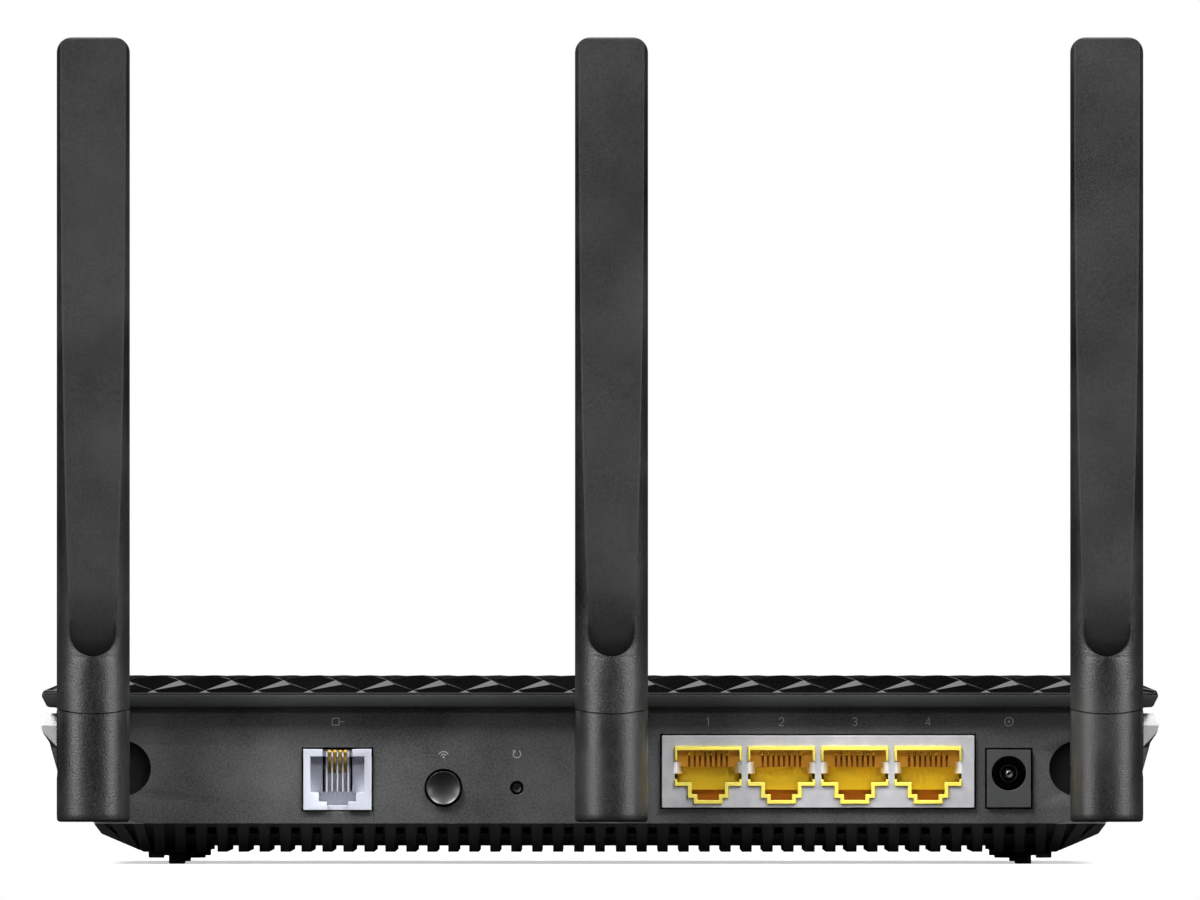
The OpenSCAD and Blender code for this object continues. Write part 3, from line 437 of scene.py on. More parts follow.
wire_bend = [(1.6, 10.96)] + arc(1.05, 10.55, 0.35, 90, 215, 5) + [(1.5, 9.4), (5.0, 6.6), (8.5, 5.6)]
wire_thick, wire_wide = 0.3, 0.54
wires = bmesh.new()
for k in range(4):
    wire_x = line_x + (k - 1.5) * wire_pitch
    strip(wires, wire_bend, wire_thick, wire_wide,
          lambda u, v, w: ((wire_x + w) * mm, (socket_y + u) * mm, (line_base + v) * mm))
gilt = grain_plastic("gilt", (0.66, 0.38, 0.05), (0.82, 0.50, 0.09), 0.3, 0.2, 0.001, 0.05)
tune(gilt, "Metallic", 0.4)
finish_piece(new_piece("line_wires", wires), "root", "gold", gilt, "line_contacts")

# ---- Power socket ----
# A black moulding on the board, with a round well. A turned steel pin stands in the well,
# inside a thin sleeve.


def turned(bm, profile, x0, z0, steps=48):
    """A turned shape on an axis along y: profile is a list of (y, radius), from one end to the other."""
    rings = []
    for y, r in profile:
        if r == 0:
            rings.append([bm.verts.new((x0 * mm, y * mm, z0 * mm))])
        else:
            rings.append([bm.verts.new(((x0 + r * sin(2 * pi * k / steps)) * mm, y * mm,
                                        (z0 + r * cos(2 * pi * k / steps)) * mm)) for k in range(steps)])
    for low, high in zip(rings, rings[1:]):
        for k in range(steps):
            n = (k + 1) % steps
            around = [low[k % len(low)], low[n % len(low)], high[n % len(high)], high[k % len(high)]]
            bm.faces.new(list(dict.fromkeys(around)))
    for ring in (rings[0], rings[-1]):
        if len(ring) > 1:
            bm.faces.new(ring)


socket_black = grain_plastic("socket_black", (0.050, 0.051, 0.053), (0.070, 0.071, 0.073), 0.5)
power = with_soft_edges("power", "power_socket", 0.15)
finish_piece(power, "root", "socket_black", socket_black, "power_socket")
pin_low, pin_high = corners("power_pin")
pin_x, pin_z = (pin_low.x + pin_high.x) / 2, (pin_low.z + pin_high.z) / 2
pin_r = (pin_high.z - pin_low.z) / 2
polished_steel = sheet_metal("polished_steel", (0.78, 0.78, 0.79), 0.2)
nose_y, nose_len, nose_r = pin_low.y + 1.6, 1.3, 0.35
nose = [(nose_y - nose_len * sin(radians(a)), nose_r + (pin_r - nose_r) * cos(radians(a)))
        for a in (20, 40, 60, 80)]
dimple = [(pin_low.y + 0.2, 0.32), (pin_low.y + 0.45, 0.22), (pin_low.y + 1.0, 0.2), (pin_low.y + 1.05, 0)]
pin = bmesh.new()
turned(pin, [(pin_high.y, pin_r), (nose_y, pin_r)] + nose + dimple, pin_x, pin_z)
finish_piece(new_piece("pin", pin), "root", "steel", polished_steel, "power_pin")
sleeve_ring = bmesh.new()
turned(sleeve_ring, [(pin_high.y, 1.45), (pin_low.y + 2.3, 1.45), (pin_low.y + 2.2, 1.5),
                     (pin_low.y + 2.2, 1.62), (pin_low.y + 2.35, 1.7), (pin_high.y, 1.72),
                     (pin_high.y, 1.46)], pin_x, pin_z)
finish_piece(new_piece("pin_sleeve", sleeve_ring), "root", "socket_black", socket_black)

# ---- Buttons and their switches ----
# Both are moulded in black plastic. The pairing button is a dished cap with a stem, held by two ears
# behind the panel, and the reset plunger is a thin rod. Each presses a push switch on the board.

button_satin = grain_plastic("button_satin", (0.018, 0.018, 0.019), (0.026, 0.026, 0.027), 0.32, 0.2, 0.003,
                             0.04, 1.0)
natural_nylon = grain_plastic("natural_nylon", (0.62, 0.62, 0.60), (0.74, 0.74, 0.72), 0.4)
for node in ("pairing_switch", "reset_switch"):
    dress(node, tinned_sheet)
for node in ("pairing_actuator", "reset_actuator"):
    dress(node, natural_nylon)
cap_low, cap_high = corners("pairing_button")
cap_x = (cap_low.x + cap_high.x) / 2
cap_r = (cap_high.z - cap_low.z) / 2
cap_z = cap_low.z + cap_r
panel_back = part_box("rear_panel")[1].y / mm
dish_depth, dish_r, dish_steps = 0.8, cap_r - 0.16, 16
dish = [(cap_low.y + 0.06 + dish_depth * (1 - (k / dish_steps) ** 2), dish_r * k / dish_steps)
        for k in range(dish_steps)]
cap_edge = [(cap_low.y, cap_r - 0.12), (cap_low.y, cap_r - 0.08), (cap_low.y + 0.03, cap_r - 0.02),
            (cap_low.y + 0.1, cap_r)]
stem_r = 1.5
cap = bmesh.new()
turned(cap, dish + cap_edge + [(panel_back + 0.3, cap_r), (panel_back + 0.9, cap_r - 0.3),
                               (panel_back + 0.9, stem_r), (cap_high.y, stem_r)], cap_x, cap_z, 64)
ear_x = (cap_high.x - cap_low.x) / 2
ear_half, ear_cut = 2.0, 0.4
ear_flat = ear_half - ear_cut
raised(cap, [(-ear_x, -ear_flat), (-ear_x + ear_cut, -ear_half), (ear_x - ear_cut, -ear_half),
             (ear_x, -ear_flat), (ear_x, ear_flat), (ear_x - ear_cut, ear_half),
             (-ear_x + ear_cut, ear_half), (-ear_x, ear_flat)],
       panel_back + 0.12, panel_back + 0.85, cap_x, cap_z)
finish_piece(new_piece("pairing_cap", cap), "pairing_button", "button_plastic", button_satin,
             "pairing_button")
rod_low, rod_high = corners("reset_plunger")
rod_x, rod_z = (rod_low.x + rod_high.x) / 2, (rod_low.z + rod_high.z) / 2
rod_r, collar_r, tail_r = 0.95, 1.9, 0.8
rod = bmesh.new()
turned(rod, [(rod_low.y + 0.12, 0), (rod_low.y + 0.1, 0.5), (rod_low.y, 0.7), (rod_low.y + 0.05, 0.85),
             (rod_low.y + 0.2, rod_r), (panel_back + 0.12, rod_r), (panel_back + 0.12, collar_r - 0.1),
             (panel_back + 0.25, collar_r), (panel_back + 0.8, collar_r), (panel_back + 0.85, tail_r),
             (rod_high.y, tail_r)], rod_x, rod_z, 40)
finish_piece(new_piece("reset_rod", rod), "reset_plunger", "button_plastic", button_satin, "reset_plunger")

# ---- Rear panel ----
# A charcoal moulding with a fine matte grain, held between the case and the cover.
# The hollows behind the side antennas are painted near-black, as painted shade, and pale marks are printed
# over the sockets.

panel_grey = grain_plastic("panel_grey", (0.030, 0.031, 0.031), (0.088, 0.089, 0.089), 0.6, 0.42, 0.02,
                           0.06, 0.3)
# A near-black that paints the shade in the hollows behind the side antennas.
hollow_painted_shade = grain_plastic("hollow_painted_shade", (0.004, 0.004, 0.0045), (0.007, 0.007, 0.0075), 0.5, 0.2, 0.002,
                             0.06, 0.25)
panel = with_soft_edges("panel", "rear_panel", 0.12)
finish_piece(panel, "root", "panel_plastic", panel_grey, "rear_panel")
panel.data.materials.append(hollow_painted_shade)
panel_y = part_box("rear_panel")[0].y / mm
hollow_x, hollow_low, hollow_high = 82, 11, 26
# The faces inside the hollows take the near-black of painted shade.
for f in panel.data.polygons:
    spot = f.center / mm
    if (panel_y + 0.05 < spot.y < panel_back - 0.05 and abs(spot.x) > hollow_x
            and hollow_low < spot.z < hollow_high):
        f.material_index = 1
pale_ink = grain_plastic("pale_ink", (0.24, 0.24, 0.245), (0.36, 0.36, 0.365), 0.6, 0.12, 0.001)


def pen_line(bm, points, closed=False):
    """A printed line through points in (x, z), with mitred corners, standing just off the panel."""
    wide, face_y, back_y = 0.17, panel_y - 0.02, panel_y + 0.03
    count = len(points)
    rows = []
    for k, p in enumerate(points):
        before = points[k - 1] if closed or k else p
        after = points[(k + 1) % count] if closed or k < count - 1 else p
        sides = []
        for a, b in ((before, p), (p, after)):
            run = sqrt((b[0] - a[0]) ** 2 + (b[1] - a[1]) ** 2)
            if run > 1e-6:
                sides.append(Vector((-(b[1] - a[1]) / run, (b[0] - a[0]) / run)))
        out = sum(sides, Vector((0, 0))).normalized()
        out *= wide / 2 / max(out.dot(sides[0]), 0.5)
        rows.append([bm.verts.new(((p[0] + s * out.x) * mm, y * mm, (p[1] + s * out.y) * mm))
                     for s, y in ((1, face_y), (-1, face_y), (-1, back_y), (1, back_y))])
    for k in range(count if closed else count - 1):
        low, high = rows[k], rows[(k + 1) % count]
        for c in range(4):
            n = (c + 1) % 4
            bm.faces.new((low[c], low[n], high[n], high[c]))
    if not closed:
        bm.faces.new(rows[0][::-1])
        bm.faces.new(rows[-1])


figures = (
    [[(-0.30, 1.18), (0.08, 1.5), (0.08, 0)]],
    [arc(0, 1.06, 0.44, 170, -20, 8) + [(0.30, 0.74), (-0.44, 0), (0.48, 0)]],
    [arc(-0.02, 1.12, 0.38, 160, -90, 8) + arc(-0.02, 0.38, 0.42, 90, -160, 9)[1:]],
    [[(0.22, 0), (0.22, 1.5), (-0.46, 0.42), (0.50, 0.42)]])
marks = bmesh.new()
over_sockets = lan_high.z + 1.9
for x, lines in zip(ports, figures):
    for points in lines:
        pen_line(marks, [(x + u, over_sockets + v) for u, v in points])
# a plug with its cord, over the line socket
plug_z = over_sockets + 0.1
pen_line(marks, [(line_x - 1.0, plug_z), (line_x + 0.3, plug_z), (line_x + 0.3, plug_z + 1.3),
                 (line_x - 1.0, plug_z + 1.3)], True)
pen_line(marks, [(line_x + 0.3, plug_z + 0.65), (line_x + 1.3, plug_z + 0.65)])
# a ring with a dot, over the power socket
ring_z = over_sockets + 0.75
pen_line(marks, arc(pin_x, ring_z, 0.8, 0, 345, 23), True)
pen_line(marks, arc(pin_x, ring_z, 0.14, 0, 315, 7), True)
# waves over the pairing button, and a turning arrow over the reset hole
waves_z = cap_z + 5.9
for r in (0.55, 1.05):
    pen_line(marks, arc(cap_x, waves_z, r, 150, 30, 8))
pen_line(marks, arc(cap_x, waves_z, 0.1, 0, 300, 5), True)
arrow_z = cap_z + 6.5
pen_line(marks, arc(rod_x, arrow_z, 0.72, 60, -240, 16))
pen_line(marks, [(rod_x - 0.36, arrow_z + 0.12), (rod_x - 0.36, arrow_z + 0.62),
                 (rod_x - 0.86, arrow_z + 0.62)])
finish_piece(new_piece("panel_marks", marks), "root", "pale_plastic", pale_ink)

# ---- Side trim ----
# A wedge-shaped band, moulded in one piece and painted satin silver.
# It is clipped round three sides of the case, on a step under the cover's edge.

silver_paint = grain_plastic("silver_paint", (0.44, 0.45, 0.46), (0.52, 0.53, 0.54), 0.36, 0.12, 0.002)
trim_low, trim_high = corners("side_trim")
tip_z, tip_lean, foot_lean = 26.4, 0.9, 0.3


def leaned_ends(bm):
    """Slopes each rear end of the trim above and below its outer edge."""
    bmesh.ops.bisect_plane(bm, geom=list(bm.verts) + list(bm.edges) + list(bm.faces), dist=1e-6,
                           plane_co=(0, 0, tip_z * mm), plane_no=(0, 0, 1))
    for v in bm.verts:
        if v.co.y < trim_low.y * mm + 1e-4:
            rise = v.co.z / mm - tip_z
            v.co.y += (tip_lean * rise / (trim_high.z - tip_z) if rise > 0 else
                       -foot_lean * rise / (tip_z - trim_low.z)) * mm
    return bm


trim = with_soft_edges("trim", "side_trim", 0.18, change=leaned_ends)
finish_piece(trim, "root", "silver_trim", silver_paint, "side_trim")

# ---- Antennas ----
# Black mouldings. Each antenna folds on a metal pin through its neck, and the neck's stem turns in
# the rear panel, where a clip holds it. The blade is a rod with two flats, which run down to
# a scooped end above the joint.

antenna_satin = grain_plastic("antenna_satin", (0.0008, 0.0008, 0.0008), (0.0105, 0.0108, 0.0108), 0.38, 0.36,
                              0.08, 0.14, 1.0)
tune(antenna_satin, "IOR", 1.66)
antenna_face = grain_plastic("antenna_face", (0.009, 0.0093, 0.0093), (0.023, 0.0235, 0.0235), 0.6, 0.42,
                             0.03)
neck_black = grain_plastic("neck_black", (0.016, 0.016, 0.017), (0.026, 0.026, 0.027), 0.5)
copper_strip = sheet_metal("copper_strip", (0.72, 0.42, 0.24), 0.4)
antenna_r = 6.95
foot_round, foot_edge = 1.6, 0.7
seam_bow = 28.0
seam_rise = seam_bow - sqrt(seam_bow ** 2 - antenna_r ** 2)
tip_r, tip_ease, tip_sink = 2.9, 0.35, 0.3
face_top, face_low, face_sink = 3.3, 5.24, 2.1
hook_sink, hook_len = 0.7, 3.4
scoop_r = 4.57
scoop_up, scoop_len = 15.6, 8.5
edge_half = 0.16
no_limit = 99
round_steps, face_steps = 15, 11


def seam_bow_at(x):
    """How far the curved seam has risen at x from the antenna's middle."""
    return seam_bow - sqrt(seam_bow ** 2 - min(abs(x), antenna_r) ** 2)


def blade_rows(seam, top):
    """Each row: height, radius, half width of the tip, depth of the flats, half width of the face
    or None where there is no face, and how far the row follows the seam."""
    scoop_z = seam + scoop_up
    flat_z = scoop_z + scoop_len
    low_z = scoop_z - scoop_r

    def depth(z):
        if z >= flat_z:
            return face_top + (face_low - face_top) * ((top - z) / (top - flat_z)) ** 1.8
        gentle = face_sink * ((flat_z - z) / (flat_z - low_z)) ** 2
        return face_low - gentle - hook_sink * max(0, 1 - (z - low_z) / hook_len) ** 2

    rows = [(seam + up, antenna_r - inset, no_limit, 0, None, 1)
            for up, inset in ((0, 0.4), (0.14, 0.36), (0.16, 0.1), (0.26, 0))]
    for k in range(1, 7):
        z = seam + 0.26 + (low_z - 0.02 - seam - 0.26) * k / 6
        rows.append((z, antenna_r, no_limit, 0, None, max(0, 1 - k / 5)))
    for k in range(13):
        a = 0.06 + (pi / 2 - 0.06) * k / 12
        z = scoop_z - scoop_r * cos(a)
        rows.append((z, antenna_r, no_limit, depth(z), scoop_r * sin(a), 0))
    for k in range(1, 7):
        z = scoop_z + scoop_len * k / 6
        rows.append((z, antenna_r, no_limit, depth(z), scoop_r, 0))
    straight = top - tip_r
    for k in range(1, 25):
        z = flat_z + (straight - flat_z) * k / 24
        rows.append((z, antenna_r, no_limit, depth(z), no_limit, 0))
    for k in range(1, 11):
        a = pi / 2 * k / 10
        z = straight + tip_r * sin(a)
        half = antenna_r - tip_r + tip_r * cos(a)
        ease = max(0, z - top + tip_ease) / tip_ease
        rows.append((z, antenna_r, half, face_top - tip_sink * ease ** 2, no_limit, 0))
    return rows


def blade_ring(row, x0, y0):
    """The points round one row, from the right side's rear edge on round the axis."""
    z, r, tip, flat, face, follow = row
    if face is None:
        grow = min(1, max(0, (follow_low - z) / 5))
        inner = 0.45 + 3.6 * grow
        outer = inner + 0.3 + 0.3 * grow
        flat_y = None
    else:
        chord = sqrt(max(r ** 2 - flat ** 2, 0.01))
        half = min(face, chord, tip)
        inner = max(half - edge_half, half / 2)
        outer = min(half + edge_half, r)
        flat_y = flat
    turn = asin(min(outer / r, 1))
    points = []
    for way in (1, -1):
        for k in range(round_steps):
            a = (-pi / 2 + turn) + (pi - 2 * turn) * k / (round_steps - 1)
            y = r * sin(a)
            if tip < antenna_r:
                y = max(-flat + edge_half, min(y, flat - edge_half))
            points.append((way * min(r * cos(a), tip), way * y))
        for k in range(face_steps):
            x = way * inner * (1 - 2 * k / (face_steps - 1))
            y = sqrt(r ** 2 - x ** 2) if flat_y is None else flat_y
            points.append((x, way * y))
    return [((x0 + x) * mm, (y0 + y) * mm, (z + follow * seam_bow_at(x)) * mm) for x, y in points]


def crisp_faces(mesh):
    """Keeps the edges round the flats crisp."""
    beside = {}
    for face in mesh.polygons:
        for key in face.edge_keys:
            beside.setdefault(key, set()).add(face.material_index)
    for edge in mesh.edges:
        if len(beside[edge.key]) > 1:
            edge.use_edge_sharp = True


def skin(rings):
    """Joins closed rings of points with faces and closes both ends."""
    bm = bmesh.new()
    rows = [[bm.verts.new(p) for p in ring] for ring in rings]
    count = len(rows[0])
    for low, high in zip(rows, rows[1:]):
        for k in range(count):
            n = (k + 1) % count
            bm.faces.new((low[k], low[n], high[n], high[k]))
    bm.faces.new(rows[0][::-1])
    bm.faces.new(rows[-1])
    return bm


for side in ("left", "middle", "right"):
    low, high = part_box(side + "_sleeve")
    axis_x = (low.x + high.x) / 2 / mm
    axis_y = (low.y + high.y) / 2 / mm
    seam_z = high.z / mm - seam_rise
    follow_low = seam_z + scoop_up - scoop_r
    blade_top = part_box(side + "_blade")[1].z / mm
    rows = blade_rows(seam_z, blade_top)
    shape = skin([blade_ring(row, axis_x, axis_y) for row in rows])
    shape.faces.ensure_lookup_table()
    half_ring = round_steps + face_steps
    for k, row in enumerate(rows[:-1]):
        if row[4] is not None:
            for n in range(2 * half_ring):
                if round_steps - 1 <= n % half_ring:
                    shape.faces[k * 2 * half_ring + n].material_index = 1
    blade = new_piece(side + "_antenna_blade", shape, 28)
    finish_piece(blade, side + "_antenna", "antenna_plastic", antenna_satin, side + "_blade")
    blade.data.materials.append(antenna_face)
    crisp_faces(blade.data)
    sleeve = with_soft_edges(side + "_antenna_sleeve", side + "_sleeve", 0.16)
    for v in sleeve.data.vertices:
        across = Vector((v.co.x / mm - axis_x, v.co.y / mm - axis_y))
        from_side, from_foot = antenna_r - across.length, v.co.z / mm - low.z / mm
        if from_side < foot_round and from_foot < foot_round:
            across *= (antenna_r - from_side * foot_edge / foot_round) / across.length
            foot_z = low.z / mm + from_foot * foot_edge / foot_round
            v.co = Vector((axis_x + across.x, axis_y + across.y, foot_z)) * mm
    finish_piece(sleeve, side + "_antenna", "antenna_plastic", antenna_satin, side + "_sleeve")
    neck = with_soft_edges(side + "_antenna_neck", side + "_neck", 0.25)
    finish_piece(neck, side + "_neck", "neck_plastic", neck_black, side + "_neck")
    dress(side + "_clip", bright_zinc)
    dress(side + "_pin", bright_zinc)
    dress(side + "_radiator", copper_strip)

# ---- Top cover ----
# One glossy black moulding, held down by the case screws. Its top is covered with shallow diamond
# facets, inside a smooth edge that stands out all round.

cover_low, cover_high = corners("top_cover")
edge_x = cover_high.x
rear_y = cover_low.y
front_y = cover_high.y
top_z = cover_high.z
foot_z = top_z - 6.2
edge_in = 3.4
slope = 11.0
edge_drop = 1.7
rear_drop = 3.4
lip_drop, lip_run = 1.3, 3.1
gloss_black = grain_plastic("gloss_black", (0.0012, 0.0012, 0.0013), (0.0026, 0.0026, 0.0028), 0.12, 0.5,
                            0.0006, 0.02)
edge_black = grain_plastic("edge_black", (0.020, 0.021, 0.021), (0.030, 0.031, 0.031), 0.42, 0.3, 0.003)
cell_x, cell_y = 9.92, 12.4
relief, flat_relief = 0.6, 0.26
apex_x, apex_y = 1.3, 1.6
pattern_rear = rear_y + 0.35
row_y = rear_y + 3.7
column_x = -0.8


def side_height(inset):
    """Height of the cover's top at a distance in from its side or front edge."""
    if inset <= edge_in:
        return top_z - edge_drop - (edge_in - inset) * lip_drop / lip_run
    return min(top_z, top_z - edge_drop + (inset - edge_in) * edge_drop / slope)


def cover_height(x, y):
    """Height of the cover's smooth top at (x, y), sloping down to all four edges."""
    rear = top_z - rear_drop + (y - rear_y) * rear_drop / slope
    return min(top_z, side_height(edge_x - abs(x)), side_height(front_y - y), rear)


def valley(y):
    """The facets' depth, which is less on the flat top than on the rear slope."""
    return relief if y < rear_y + slope else flat_relief


def facets():
    """The diamonds as a flat sheet of triangles, each vertex's z being its depth under the peaks."""
    bm = bmesh.new()
    found = {}

    def corner(x, y, z):
        key = (round(x, 4), round(y, 4))
        if key not in found:
            found[key] = bm.verts.new((x, y, z))
        return found[key]

    across = int(edge_x / cell_x) + 2
    along = int((front_y - rear_y) / cell_y) + 2
    for i in range(-2 * across, 2 * across + 1):
        for j in range(-4, 2 * along + 1):
            if (i + j) % 2:
                continue
            x = column_x + i * cell_x / 2
            y = row_y + j * cell_y / 2
            ring = [corner(x + cell_x / 2, y, -valley(y)), corner(x, y + cell_y / 2, -valley(y + cell_y / 2)),
                    corner(x - cell_x / 2, y, -valley(y)), corner(x, y - cell_y / 2, -valley(y - cell_y / 2))]
            apex = corner(x + apex_x, y + apex_y, 0)
            for k in range(4):
                bm.faces.new((ring[k], ring[(k + 1) % 4], apex))
    return bm


def trim_sheet(bm, point, normal, cut, where=lambda x, y: True):
    """Cuts the sheet along a plane, in the faces whose middle passes the where test."""
    faces = [f for f in bm.faces if where(*f.calc_center_median().xy)]
    around = dict.fromkeys(g for f in faces for g in list(f.verts) + list(f.edges))
    bmesh.ops.bisect_plane(bm, geom=faces + list(around), dist=1e-4, plane_co=point, plane_no=normal,
                           clear_outer=cut)


sheet = facets()
sheet_x = edge_x - edge_in
sheet_front = front_y - edge_in
beyond_slope = slope + 8
for point, normal in (((sheet_x, 0, 0), (1, 0, 0)), ((-sheet_x, 0, 0), (-1, 0, 0)),
                      ((0, sheet_front, 0), (0, 1, 0)), ((0, pattern_rear, 0), (0, -1, 0))):
    trim_sheet(sheet, point, normal, True)
for way in (-1, 1):
    trim_sheet(sheet, (way * (sheet_x - slope), 0, 0), (1, 0, 0), False)
    trim_sheet(sheet, (way * sheet_x, sheet_front, 0), (way, -1, 0), False,
               lambda x, y: way * x > sheet_x - beyond_slope and y > sheet_front - beyond_slope)
    # where the side slope meets the steeper rear slope
    trim_sheet(sheet, (way * sheet_x, rear_y + (rear_drop - edge_drop) * slope / rear_drop, 0),
               (way * edge_drop, rear_drop, 0), False,
               lambda x, y: way * x > sheet_x - beyond_slope and y < rear_y + beyond_slope)
trim_sheet(sheet, (0, sheet_front - slope, 0), (0, 1, 0), False)
trim_sheet(sheet, (0, rear_y + slope, 0), (0, 1, 0), False)
for v in sheet.verts:
    v.co.z += cover_height(v.co.x, v.co.y)
for f in sheet.faces:
    f.smooth = False


def next_ring(bm, edges, place):
    """Carries the sheet's outer edge on by one ring; place moves each point."""
    made = bmesh.ops.extrude_edge_only(bm, edges=edges)["geom"]
    for v in [g for g in made if isinstance(g, bmesh.types.BMVert)]:
        v.co = place(v.co.x, v.co.y)
    return [g for g in made if isinstance(g, bmesh.types.BMEdge)]


def out_to(side_in, rear, z=None, rear_z=None):
    """Moves an edge point out to a rectangle: side_in from the tips, rear from the rear edge."""
    def place(x, y):
        at_rear = abs(y - reach["rear"]) < 1e-3
        if abs(abs(x) - reach["x"]) < 1e-3:
            x = (edge_x - side_in) * (1 if x > 0 else -1)
        if abs(y - reach["front"]) < 1e-3:
            y = front_y - side_in
        if at_rear:
            y = rear_y + rear
        height = cover_height(x, y) if z is None else z
        return (x, y, min(height, rear_z) if at_rear and rear_z is not None else height)
    return place


reach = {"x": sheet_x, "front": sheet_front, "rear": pattern_rear}
rim = [e for e in sheet.edges if e.is_boundary]
rim = next_ring(sheet, rim, lambda x, y: (x, y, cover_height(x, y)))
patterned = set(sheet.faces)
rear_top = top_z - rear_drop
for side_in, rear, z, rear_z in (
        (0.9, 0.3, None, rear_top + 0.05), (0.55, 0.16, None, rear_top - 0.1),
        (0.35, 0.05, top_z - 3.05, rear_top - 0.35), (0.1, 0.0, top_z - 3.6, rear_top - 0.7),
        (1.0, 0.0, foot_z + 0.45, foot_z + 0.35), (1.4, 0.12, foot_z + 0.1, foot_z + 0.1),
        (3.1, 0.4, foot_z, foot_z), (5.1, 1.95, foot_z, foot_z)):
    rim = next_ring(sheet, rim, out_to(side_in, rear, z, rear_z))
    reach = {"x": edge_x - side_in, "front": front_y - side_in, "rear": rear_y + rear}
inside_z = foot_z + 2.2
rim = next_ring(sheet, rim, lambda x, y: (x, y, inside_z))
bmesh.ops.edgeloop_fill(sheet, edges=rim)
for f in sheet.faces:
    if f not in patterned:
        f.smooth = True
        f.material_index = 1 if f.calc_center_median().z < rear_top - 0.45 else 0
bmesh.ops.recalc_face_normals(sheet, faces=sheet.faces)
for e in sheet.edges:
    e.smooth = not patterned.intersection(e.link_faces) and e.calc_face_angle(0) < radians(40)
for v in sheet.verts:
    v.co = v.co * mm
cover_mesh = bpy.data.meshes.new("cover")
sheet.to_mesh(cover_mesh)
sheet.free()
cover = bpy.data.objects.new("cover", cover_mesh)
bpy.context.scene.collection.objects.link(cover)
finish_piece(cover, "root", "cover_plastic", gloss_black, "top_cover")
cover.data.materials.append(edge_black)

# ---- Studio ----
# A white table and backdrop, soft lamps at both sides, and a camera far behind the router.
# The table is white to the camera; towards the router it throws back little light.

table_half = 6
floor_mesh = bpy.data.meshes.new("table")
floor_mesh.from_pydata([(x * table_half, y * table_half, 0) for x, y in ((-1, -1), (1, -1), (1, 1), (-1, 1))],
                       [], [(0, 1, 2, 3)])
floor = bpy.data.objects.new("table", floor_mesh)
bpy.context.scene.collection.objects.link(floor)
white, tree, base = bare_stuff("white_table")
base.inputs["Roughness"].default_value = 0.9
base.inputs["Specular IOR Level"].default_value = 0
rays = tree.nodes.new("ShaderNodeLightPath")
lighting_grey, mirrored_grey, seen_grey = 0.05, 0.008, 0.80
seen_white = tree.nodes.new("ShaderNodeMix")
seen_white.data_type = "RGBA"
seen_white.inputs[6].default_value = (lighting_grey, lighting_grey, lighting_grey, 1)
seen_white.inputs[7].default_value = (seen_grey, seen_grey, seen_grey, 1)
tree.links.new(rays.outputs["Is Camera Ray"], seen_white.inputs[0])
mirrored_dark = tree.nodes.new("ShaderNodeMix")
mirrored_dark.data_type = "RGBA"
mirrored_dark.inputs[7].default_value = (mirrored_grey, mirrored_grey, mirrored_grey, 1)
tree.links.new(rays.outputs["Is Glossy Ray"], mirrored_dark.inputs[0])
tree.links.new(seen_white.outputs[2], mirrored_dark.inputs[6])
tree.links.new(mirrored_dark.outputs[2], base.inputs["Base Color"])
glow = tree.nodes.new("ShaderNodeEmission")
glow.inputs["Strength"].default_value = 1.0
reach_out = tree.nodes.new("ShaderNodeVectorMath")
reach_out.operation = "LENGTH"
tree.links.new(tree.nodes.new("ShaderNodeTexCoord").outputs["Object"], reach_out.inputs[0])
near, away, near_glow, away_glow = 0.15, 0.9, 0.55, 1.0
glowing = spread(tree, reach_out.outputs["Value"], near, away, near_glow, away_glow)
mix = tree.nodes.new("ShaderNodeMixShader")
tree.links.new(worked_out(tree, "MULTIPLY", rays.outputs["Is Camera Ray"], glowing), mix.inputs["Fac"])
tree.links.new(base.outputs[0], mix.inputs[1])
tree.links.new(glow.outputs[0], mix.inputs[2])
tree.links.new(mix.outputs[0], tree.nodes["Material Output"].inputs["Surface"])
floor_mesh.materials.append(white)

# The backdrop is white to the camera. In reflections it is a low white band past the router's front
# and a white patch overhead.
world = bpy.data.worlds.new("studio")
bpy.context.scene.world = world
world.use_nodes = True
tree = world.node_tree
ambient = tree.nodes["Background"]
ambient.inputs["Color"].default_value = (1, 1, 1, 1)
backdrop = tree.nodes.new("ShaderNodeBackground")
backdrop.inputs["Color"].default_value = (1, 1, 1, 1)
backdrop.inputs["Strength"].default_value = 1.0
lighting_level, mirrored_level = 0.015, 0.004
rays = tree.nodes.new("ShaderNodeLightPath")
mirrored = worked_out(tree, "MAXIMUM", rays.outputs["Is Glossy Ray"], rays.outputs["Is Transmission Ray"])
tree.links.new(spread(tree, mirrored, 0, 1, lighting_level, mirrored_level), ambient.inputs["Strength"])
axes = tree.nodes.new("ShaderNodeSeparateXYZ")
tree.links.new(tree.nodes.new("ShaderNodeTexCoord").outputs["Generated"], axes.inputs["Vector"])


def fade(value, start, end):
    """Falls from 1 at start to 0 at end."""
    return spread(tree, value, end, start, 0, 1)


heights = tree.nodes.new("ShaderNodeValToRGB")
for rise, level in ((0.34, 0.02), (0.37, 0.8), (0.46, 0.8)):
    heights.color_ramp.elements.new(rise).color = (level, level, level, 1)
heights.color_ramp.elements[0].color = (0.02, 0.02, 0.02, 1)
heights.color_ramp.elements[-1].position = 0.49
heights.color_ramp.elements[-1].color = (0, 0, 0, 1)
tree.links.new(axes.outputs["Z"], heights.inputs["Fac"])
band = worked_out(tree, "MULTIPLY", heights.outputs["Color"], fade(axes.outputs["Y"], 0.86, 0.76))
overhead = worked_out(tree, "MULTIPLY", fade(axes.outputs["Z"], 0.95, 0.5),
                      fade(axes.outputs["Y"], 0.45, 0.65))
shown = worked_out(tree, "MULTIPLY", mirrored, worked_out(tree, "MAXIMUM", band, overhead))
mix = tree.nodes.new("ShaderNodeMixShader")
tree.links.new(worked_out(tree, "MAXIMUM", rays.outputs["Is Camera Ray"], shown), mix.inputs["Fac"])
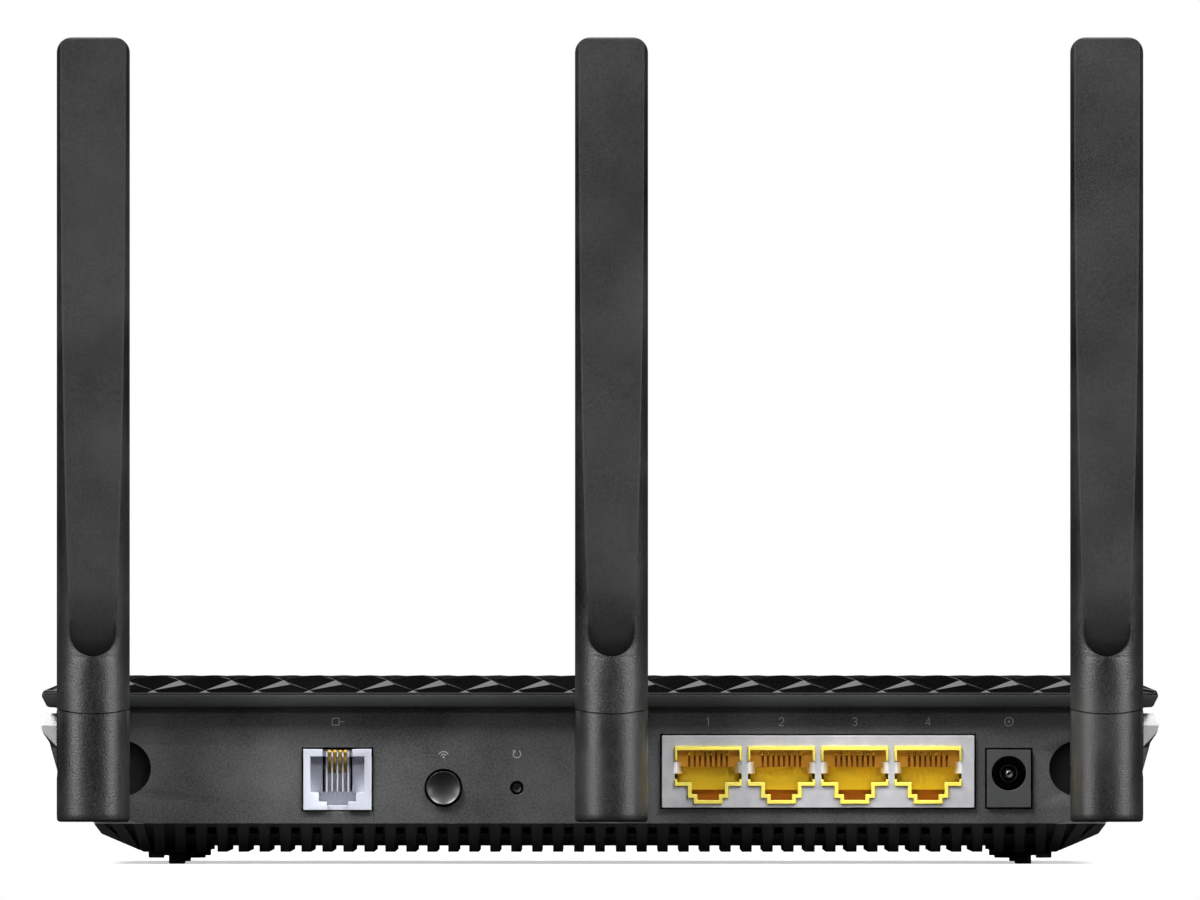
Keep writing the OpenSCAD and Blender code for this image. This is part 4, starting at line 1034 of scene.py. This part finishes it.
tree.links.new(ambient.outputs[0], mix.inputs[1])
tree.links.new(backdrop.outputs[0], mix.inputs[2])
tree.links.new(mix.outputs[0], tree.nodes["World Output"].inputs["Surface"])

lit_middle = Vector((0, -0.06, 0.06))


def soft_lamp(name, azimuth, elevation, distance, width, height, level, lit=True, mirrored=True):
    """A soft lamp. azimuth is from straight behind the router, and level is the light that it gives
    a surface that faces it, as a share of full white. Without lit it only shows in reflections,
    and without mirrored it doesn't show in them."""
    light = bpy.data.lights.new(name, "AREA")
    light.shape = "ELLIPSE"
    light.size = width
    light.size_y = height
    light.energy = level * (pi * distance) ** 2
    lamp = bpy.data.objects.new(name, light)
    turn, rise = radians(azimuth), radians(elevation)
    way = Vector((sin(turn) * cos(rise), -cos(turn) * cos(rise), sin(rise)))
    lamp.location = lit_middle + way * distance
    lamp.rotation_euler = way.to_track_quat("Z", "Y").to_euler()
    lamp.visible_diffuse = lit
    lamp.visible_glossy = mirrored
    bpy.context.scene.collection.objects.link(lamp)


soft_lamp("left_high", -60, 55, 2.0, 0.6, 0.7, 2.7, mirrored=False)
soft_lamp("right_high", 60, 55, 2.0, 0.6, 0.7, 2.1, mirrored=False)
soft_lamp("left_sheet", -60, 50, 2.0, 1.5, 1.2, 1.1, lit=False)
soft_lamp("right_sheet", 60, 50, 2.0, 1.5, 1.2, 1.1, lit=False)
soft_lamp("left_low", -60, 12, 2.2, 1.4, 1.1, 0.28, lit=False)
soft_lamp("right_low", 60, 12, 2.2, 1.4, 1.1, 0.28, lit=False)
soft_lamp("left_side", -105, 30, 2.2, 0.6, 0.6, 0.35, mirrored=False)
soft_lamp("right_side", 105, 30, 2.2, 0.6, 0.6, 0.35, mirrored=False)
soft_lamp("behind", 0, 30, 3.0, 0.5, 0.5, 0.24, mirrored=False)
soft_lamp("left_far", -135, 26, 2.4, 2.0, 1.0, 0.04, lit=False)
soft_lamp("right_far", 135, 26, 2.4, 2.0, 1.0, 0.04, lit=False)

camera_distance = 8.0
camera_z, aim_z = 0.036, 0.0789
view_width, sensor_width = 0.2286, 36
camera_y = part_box("rear_panel")[0].y - camera_distance
camera = bpy.data.objects.new("camera", bpy.data.cameras.new("camera"))
camera.data.sensor_width = sensor_width
camera.data.lens = sensor_width * camera_distance / view_width
camera.data.clip_end = 100
camera.location = (0, camera_y, camera_z)
camera.rotation_euler = (radians(90) + atan2(aim_z - camera_z, camera_distance), 0, 0)
bpy.context.scene.collection.objects.link(camera)
bpy.context.scene.camera = camera
bpy.context.scene.view_settings.view_transform = "Standard"
